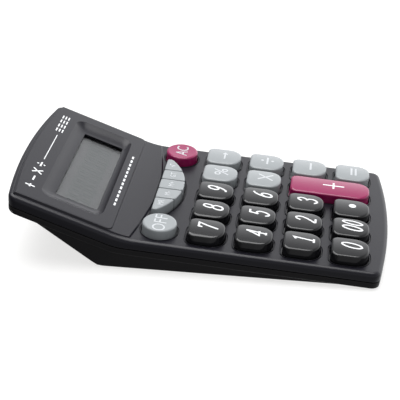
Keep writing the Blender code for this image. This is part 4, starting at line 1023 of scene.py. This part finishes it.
def add_bottom_case():
    inset_floor = BELLY_INSET + BELLY_EDGE
    boundary = case_plan(inset_floor)
    wells = [plan_middle(f"case_screw_{index + 1}") for index in range(4)]
    end_wells = []
    for index in range(2):
        place = DISPLAY.inverted() @ centre_of(f"end_screw_{index + 1}")
        at = TO_KEYPAD @ (DISPLAY @ Vector((place[0], place[1], -6.75)))
        end_wells.append((at[0], at[1], place[0], place[1]))
    door_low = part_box("battery_door")[0]
    front_v = plan_of_world(0, door_low[1] / MM - GAP, 1.0)[1]
    # The mouth ends where the back slope has risen over the top of the sliding door.
    back_v = BACK_FOOT_V + (FLOOR_WALL + GAP) / (math.sin(TILT) + math.tan(BACK_SLOPE) * math.cos(TILT))
    mouth = rounded((-DOOR_HALF_WIDTH - GAP, DOOR_HALF_WIDTH + GAP), (front_v, back_v), 0.6, 0.6, 0.0, 4, 12)
    holes = [mouth] + [disc(place, WELL_RADIUS, 36) for place in wells]
    holes += [disc(place[:2], WELL_RADIUS, 36) for place in end_wells]
    feet = [plan_middle(f"rubber_foot_{index + 1}") for index in range(4)]
    foot_low, foot_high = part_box("rubber_foot_1")
    foot_radius = (foot_high[0] - foot_low[0]) / 2 / MM
    recess = foot_radius + FOOT_PLAY
    lines = []
    for place in feet:
        for radius in (recess + 0.3, recess + 0.1, recess, recess - 0.03, recess - 0.4):
            lines.append((disc(place, radius, 44), True))
    for place in holes:
        middle = np.mean(place, axis=0)
        lines.append((middle + (np.array(place) - middle) * 1.06, True))
    for inset in (3.3, 3.7):
        lines.append((case_plan(inset), True))
    for v in list(np.arange(34.2, 41.6, 0.5)) + list(np.arange(59.5, 66.5, 0.5)):
        lines.append(([(u, v) for u in np.linspace(-33.6, 33.6, 50)], False))
    seeds = [(u, v) for u in np.arange(-33, 33.1, 3.0) for v in np.arange(-60, 69, 3.0)]
    flat, tris = triangulate(boundary, holes, lines, seeds)
    u, v = flat[:, 0], flat[:, 1]
    lift = np.zeros(len(u))
    for place in feet:
        away = np.hypot(u - place[0], v - place[1])
        lift = np.maximum(lift, FOOT_RECESS * (away < recess - 0.015))
    surface = belly_n(v)
    floor = surface + FLOOR_WALL
    outside = np.column_stack([u, v, surface + lift])
    within = np.column_stack([u, v, floor])
    sheet = two_skins(flat, tris, outside, within, boundary)

    def wall(inset, turn):
        def height(v):
            room = np.maximum(band_n(v) - belly_n(v), 0)
            return belly_n(v) + np.minimum(BELLY_EDGE, 0.45 * room) * (1 - math.sin(turn))
        return plan_ring(inset, height)

    rings = [wall(BELLY_INSET + BELLY_EDGE * (1 - math.cos(a)), a) for a in np.radians(np.linspace(90, 0, 8))]

    def under_band(inset, drop):
        def height(v):
            room = np.maximum(band_n(v) - belly_n(v), 0)
            return band_n(v) - np.minimum(drop, 0.3 * room)
        return plan_ring(inset, height)

    for outward, drop in ((0, 0.3), (0.08, 0.08), (0.3, 0)):
        rings.append(under_band(BELLY_INSET - outward, drop))
    for turn in np.radians(np.linspace(90, 0, 6)):
        inset, rise = 0.55 * (1 - math.cos(turn)), 0.55 * (1 - math.sin(turn))
        rings.append(plan_ring(inset, lambda v, rise=rise: band_n(v) + rise))
    for inset, drop in ((0, 0.6), (0.04, 0.42), (0.12, 0.33), (0.28, GAP), (TONGUE_INSET, GAP),
                        (TONGUE_INSET, -LIP_RISE + 0.15), (TONGUE_INSET + 0.15, -LIP_RISE),
                        (CAVITY_INSET, -LIP_RISE)):
        rings.append(plan_ring(inset, lambda v, drop=drop: parting_n(v) - drop))
    rings.append(plan_ring(CAVITY_INSET, lambda v: belly_n(v) + FLOOR_WALL + 0.1))
    rings.append(plan_ring(inset_floor, lambda v: belly_n(v) + FLOOR_WALL))
    points, faces = join(sheet, loft(rings, False, False))
    piece("bottom_shell", points, faces, black_shell, "case", "black_case", ["bottom_case"], KEYPAD)

    tubes = []
    for place in wells:
        foot_n = float(belly_n(np.array([place[1]]))[0]) + FLOOR_WALL - 0.1
        tubes.append(pillar(place, foot_n, PILLAR_SEAT, PILLAR_TOP, PILLAR_RADIUS))
    piece("screw_pillars", *join(*tubes), black_shell, "case", "black_case", (), KEYPAD)
    tubes = []
    for *_, u, s in end_wells:
        tubes.append(pillar((u, s), END_PILLAR_FOOT, END_PILLAR_SEAT, END_PILLAR_TOP, END_PILLAR_RADIUS))
    piece("end_pillars", *join(*tubes), black_shell, "case", "black_case", (), DISPLAY)


def add_battery_bay():
    """The wall round the cell."""
    outer = rounded((-BAY_HALF, BAY_HALF), BAY_V, 0.8, 0.8, 0.0, 4, 6)
    bay_half = BAY_HALF - BAY_WALL
    inner = rounded((-bay_half, bay_half), (BAY_V[0] + BAY_WALL, BAY_V[1] - BAY_WALL), 0.3, 0.3, 0.0, 4, 6)
    feet = []
    for outline in (outer, inner):
        height = belly_n(np.array([v for _, v in outline])) + FLOOR_WALL
        feet.append([(u, v, n) for (u, v), n in zip(outline, height)])
    rings = [feet[0], ring_at(outer, BAY_TOP), ring_at(inner, BAY_TOP), feet[1], feet[0]]
    piece("battery_bay", *loft(rings, False, False), black_shell, "case", "black_case", (), KEYPAD)


def add_door():
    """Sliding battery door with a ribbed grip."""
    low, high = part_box("battery_door")
    front, back = low[1] / MM, high[1] / MM
    bottom, top = FOOT_HEIGHT, FOOT_HEIGHT + FLOOR_WALL
    slope = BACK_SLOPE + TILT
    foot_y = back - (FLOOR_WALL - 0.45) / math.tan(slope)
    rings = []
    lower = [(front + 0.25, bottom), (foot_y - 1.2, bottom), (foot_y - 0.3, bottom + 0.07),
             (foot_y + 0.4, bottom + 0.4), (back - 0.15, top - 0.5)]
    loop = lower + [(back - 0.02, top - 0.3), (back - 0.1, top - 0.04), (back - 0.3, top), (front + 0.2, top),
                    (front + 0.03, top - 0.08), (front, top - 0.2), (front, bottom + 0.22),
                    (front + 0.07, bottom + 0.06)]
    middle_y, middle_z = (front + back) / 2, (bottom + top) / 2
    ends = ((0, 0.18), (0.06, 0.06), (0.2, 0.0))
    spans = [(-DOOR_HALF_WIDTH + inset, shrink) for inset, shrink in ends]
    spans += [(DOOR_HALF_WIDTH - inset, shrink) for inset, shrink in reversed(ends)]
    for half, shrink in spans:
        ring = []
        for y, z in loop:
            ring.append((half, y + math.copysign(min(shrink, 0.2), middle_y - y),
                         z + math.copysign(shrink, middle_z - z) * 0.9))
        rings.append(ring)
    parts = [loft(rings)]
    for index in range(5):
        y = front + 2.2 + index * 1.25
        half = 8.0
        rib = []
        for x, size in ((-half, 0.05), (-half + 0.35, 0.8), (-half + 0.8, 1.0), (half - 0.8, 1.0),
                        (half - 0.35, 0.8), (half, 0.05)):
            ring = []
            for i in range(10):
                turn = math.pi * i / 9
                rib_z = bottom + 0.05 - 0.24 * size * math.sin(turn)
                ring.append((x, y + 0.36 * size * math.cos(turn), rib_z))
            rib.append(ring)
        parts.append(loft(rib))
    for side in (-1, 1):
        span = sorted((side * 24.0, side * 25.2))
        wing = sorted((side * 24.6, side * 26.9))
        near, far = front + 0.4, front + 3.2
        for (x0, x1), z0, z1 in ((span, top - 0.1, top + 0.5), (wing, top + 0.3, top + 1.0)):
            edge = 0.12
            rings = []
            for inset, z in ((edge, z0), (0, z0 + edge), (0, z1 - edge), (edge, z1)):
                rings.append(ring_at(rounded((x0, x1), (near, far), 0.2, 0.2, inset, 3, 1), z))
            parts.append(loft(rings))
    points, faces = join(*parts)
    piece("door_panel", points, faces, black_shell, "battery_door", "black_case", ["battery_door"], WORLD_MM)


# ---- Feet, screws and cell ----
def add_small_parts():
    low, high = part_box("rubber_foot_1")
    radius, height = (high[0] - low[0]) / 2 / MM, (high[2] - low[2]) / MM
    for index in range(4):
        name = f"rubber_foot_{index + 1}"
        place = centre_of(name) / MM
        profile = [(0.05, height), (radius, height), (radius, 0.35), (radius - 0.08, 0.14),
                   (radius - 0.3, 0.0), (radius - 0.9, 0.0), (radius - 1.0, 0.1), (radius - 1.5, 0.1),
                   (radius - 1.6, 0.0), (0.05, 0.0)]
        part = moved(lathe(profile), Matrix.Translation((place[0], place[1], low[2] / MM)))
        piece("pad_" + str(index + 1), *part, foot, "case", "foot_rubber", [name], WORLD_MM)
    sets = [("case_screw", 4, KEYPAD, 2.2), ("end_screw", 2, DISPLAY, 2.2), ("board_screw", 2, KEYPAD, 1.9),
            ("holder_screw", 2, DISPLAY, 1.9)]
    for kind, count, home, head in sets:
        for index in range(count):
            name = f"{kind}_{index + 1}"
            co = np.array([tuple(home.inverted() @ vert.co) for vert in nodes[name].data.vertices])
            centre = (co.min(0) + co.max(0)) / 2
            foot_n, tip_n = co[:, 2].min(), co[:, 2].max()
            part = moved(screw(head, tip_n - foot_n), Matrix.Translation((centre[0], centre[1], foot_n)))
            piece("fastener_" + name, *part, steel, "case", "zinc_steel", [name], home)
    co = np.array([tuple(TO_KEYPAD @ vert.co) for vert in nodes["aaa_cell"].data.vertices])
    low, high = co.min(0), co.max(0)
    radius, length = (high[1] - low[1]) / 2, high[0] - low[0]
    nub = 1.9
    neck = length - 0.8
    profile = [(0.05, 0.12), (radius - 1.3, 0.12), (radius - 1.2, 0.0), (radius - 0.5, 0.0),
               (radius - 0.2, 0.12), (radius - 0.05, 0.4), (radius, 0.7), (radius, 4.0),
               (radius, neck - 7), (radius, neck - 0.9), (radius - 0.1, neck - 0.4),
               (radius - 0.5, neck - 0.1), (radius - 1.0, neck), (nub + 0.4, neck - 0.1), (nub, neck),
               (nub, length - 0.3), (nub - 0.1, length - 0.08), (nub - 0.35, length), (0.05, length)]
    points, faces = lathe(profile)
    band = []
    for face in faces:
        middle = sum(points[i][2] for i in face) / len(face)
        wide = max(math.hypot(points[i][0], points[i][1]) for i in face) > radius - 0.6
        band.append(1 if not wide or middle < 0.4 else (2 if middle > neck - 7 else 0))
    turned = Matrix.Translation((low[0], (low[1] + high[1]) / 2, (low[2] + high[2]) / 2))
    turned = turned @ Matrix.Rotation(math.pi / 2, 4, "Y")
    copper = material("cell_band", (0.42, 0.2, 0.06), 0.26, 0.05, 0.08, 300.0, sockets={"Metallic": 0.7})
    points, _ = moved((points, faces), turned)
    piece("cell", points, faces, [cell_wrap, steel, copper], "case", "cell_label", ["aaa_cell"], KEYPAD,
          material_of=band)


def screw(head, length):
    """Pan-head screw, head down, with a cross recess and a threaded shank."""
    steps = 48
    turns = [2 * math.pi * i / steps for i in range(steps)]
    recess = []
    for a in turns:
        recess.append(min(1.35, 0.3 / max(min(abs(math.sin(a)), abs(math.cos(a))), 0.001)))
    rings = [[(0.6 * r * math.cos(a), 0.6 * r * math.sin(a), 0.5) for a, r in zip(turns, recess)],
             [(r * math.cos(a), r * math.sin(a), 0.02) for a, r in zip(turns, recess)]]
    profile = [(1.55, 0.0), (head - 0.3, 0.05), (head - 0.08, 0.2), (head, 0.38), (head, 0.7), (0.85, 0.7)]
    level = 0.95
    while level < length - 0.8:
        profile += [(0.62, level), (0.85, level + 0.16), (0.85, level + 0.2)]
        level += 0.5
    profile += [(0.5, length - 0.4), (0.12, length)]
    return loft(rings + round_rings(profile, steps))


CARRIED = {"main_pcb": laminate, "rubber_keypad": silicone, "chip_cover": epoxy, "filter_capacitor": epoxy,
           "lcd_ribbon": film, "lcd_holder": mask, "positive_contact": steel, "negative_contact": steel,
           "contact_spring": steel, "positive_wire": red_wire, "negative_wire": black_wire}

add_top_case()
for key_name in GRID_KEYS + ROUND_KEYS + ["key_add"]:
    add_cap(key_name)
for key_index, key_name in enumerate(MEMORY_KEYS):
    add_memory_key(key_index, key_name)
add_display()
add_prints()
add_bottom_case()
add_battery_bay()
add_door()
add_small_parts()
for node_name, finish in CARRIED.items():
    mesh = nodes[node_name].data
    mesh.materials.clear()
    mesh.materials.append(finish)


# ---- Studio ----
def add_floor():
    made = bpy.data.materials.new("floor_paper")
    made.use_nodes = True
    tree = made.node_tree
    shader = tree.nodes["Principled BSDF"]
    shader.inputs["Roughness"].default_value = 0.9
    shader.inputs["Specular IOR Level"].default_value = 0.1
    shader.inputs["Emission Color"].default_value = (1.0, 0.995, 0.985, 1)
    shader.inputs["Emission Strength"].default_value = 0.72
    grain = noise(tree, Scale=900.0, Detail=3.0)
    tree.links.new(blended(tree, grain, (0.38, 0.38, 0.38), (0.4, 0.4, 0.4)), shader.inputs["Base Color"])
    mesh = bpy.data.meshes.new("floor")
    half = 6.0
    corners = [(-half, -half, 0), (half, -half, 0), (half, half, 0), (-half, half, 0)]
    mesh.from_pydata(corners, [], [(0, 1, 2, 3)])
    mesh.materials.append(made)
    floor = bpy.data.objects.new("floor", mesh)
    bpy.context.scene.collection.objects.link(floor)
    floor.visible_glossy = False
    floor.visible_diffuse = False


def add_light(name, place, target, size, power):
    data = bpy.data.lights.new(name, "AREA")
    data.shape = "RECTANGLE"
    data.size, data.size_y = size
    data.energy = power
    light = bpy.data.objects.new(name, data)
    bpy.context.scene.collection.objects.link(light)
    light.location = place
    light.rotation_mode = "QUATERNION"
    light.rotation_quaternion = (Vector(target) - Vector(place)).to_track_quat("-Z", "Y")
    return light


def add_world():
    """A pale tent: bright behind the object and overhead, darker on the near side and below."""
    world = bpy.data.worlds.new("studio")
    bpy.context.scene.world = world
    world.use_nodes = True
    tree = world.node_tree
    background = tree.nodes["Background"]
    coords = tree.nodes.new("ShaderNodeTexCoord")
    split = tree.nodes.new("ShaderNodeSeparateXYZ")
    tree.links.new(coords.outputs["Generated"], split.inputs[0])
    east, north, up = (split.outputs[axis] for axis in "XYZ")
    strength = ranged(tree, up, -0.15, 0.25, 0.6, 1.0, smooth=True)
    factors = [ranged(tree, east, -0.5, 0.8, 0.55, 1.8),
               ranged(tree, north, -0.05, 0.38, 1.15, 0.42, smooth=True),
               ranged(tree, up, 0.3, 0.72, 1.0, 0.4)]
    for factor in factors:
        strength = calculated(tree, "MULTIPLY", strength, factor)
    tree.links.new(strength, background.inputs["Strength"])
    background.inputs["Color"].default_value = (0.97, 0.98, 1.0, 1)


def add_camera():
    data = bpy.data.cameras.new("camera")
    data.sensor_width = 36.0
    data.lens = 97.6
    data.clip_start, data.clip_end = 0.01, 50.0
    camera = bpy.data.objects.new("camera", data)
    bpy.context.scene.collection.objects.link(camera)
    right, up, back = (0.1328, -0.9912, 0.0032), (0.4984, 0.0696, 0.8642), (-0.8567, -0.1132, 0.5032)
    turn = Matrix((right, up, back)).transposed()
    camera.rotation_mode = "QUATERNION"
    camera.rotation_quaternion = turn.to_quaternion()
    camera.location = (-0.3524, -0.04425, 0.2167)
    bpy.context.scene.camera = camera


bpy.context.scene.view_settings.view_transform = "Standard"
add_floor()
add_world()
add_light("overhead_softbox", (0.12, 0.1, 0.75), (0, 0, 0), (0.7, 0.7), 7.0)
add_camera()
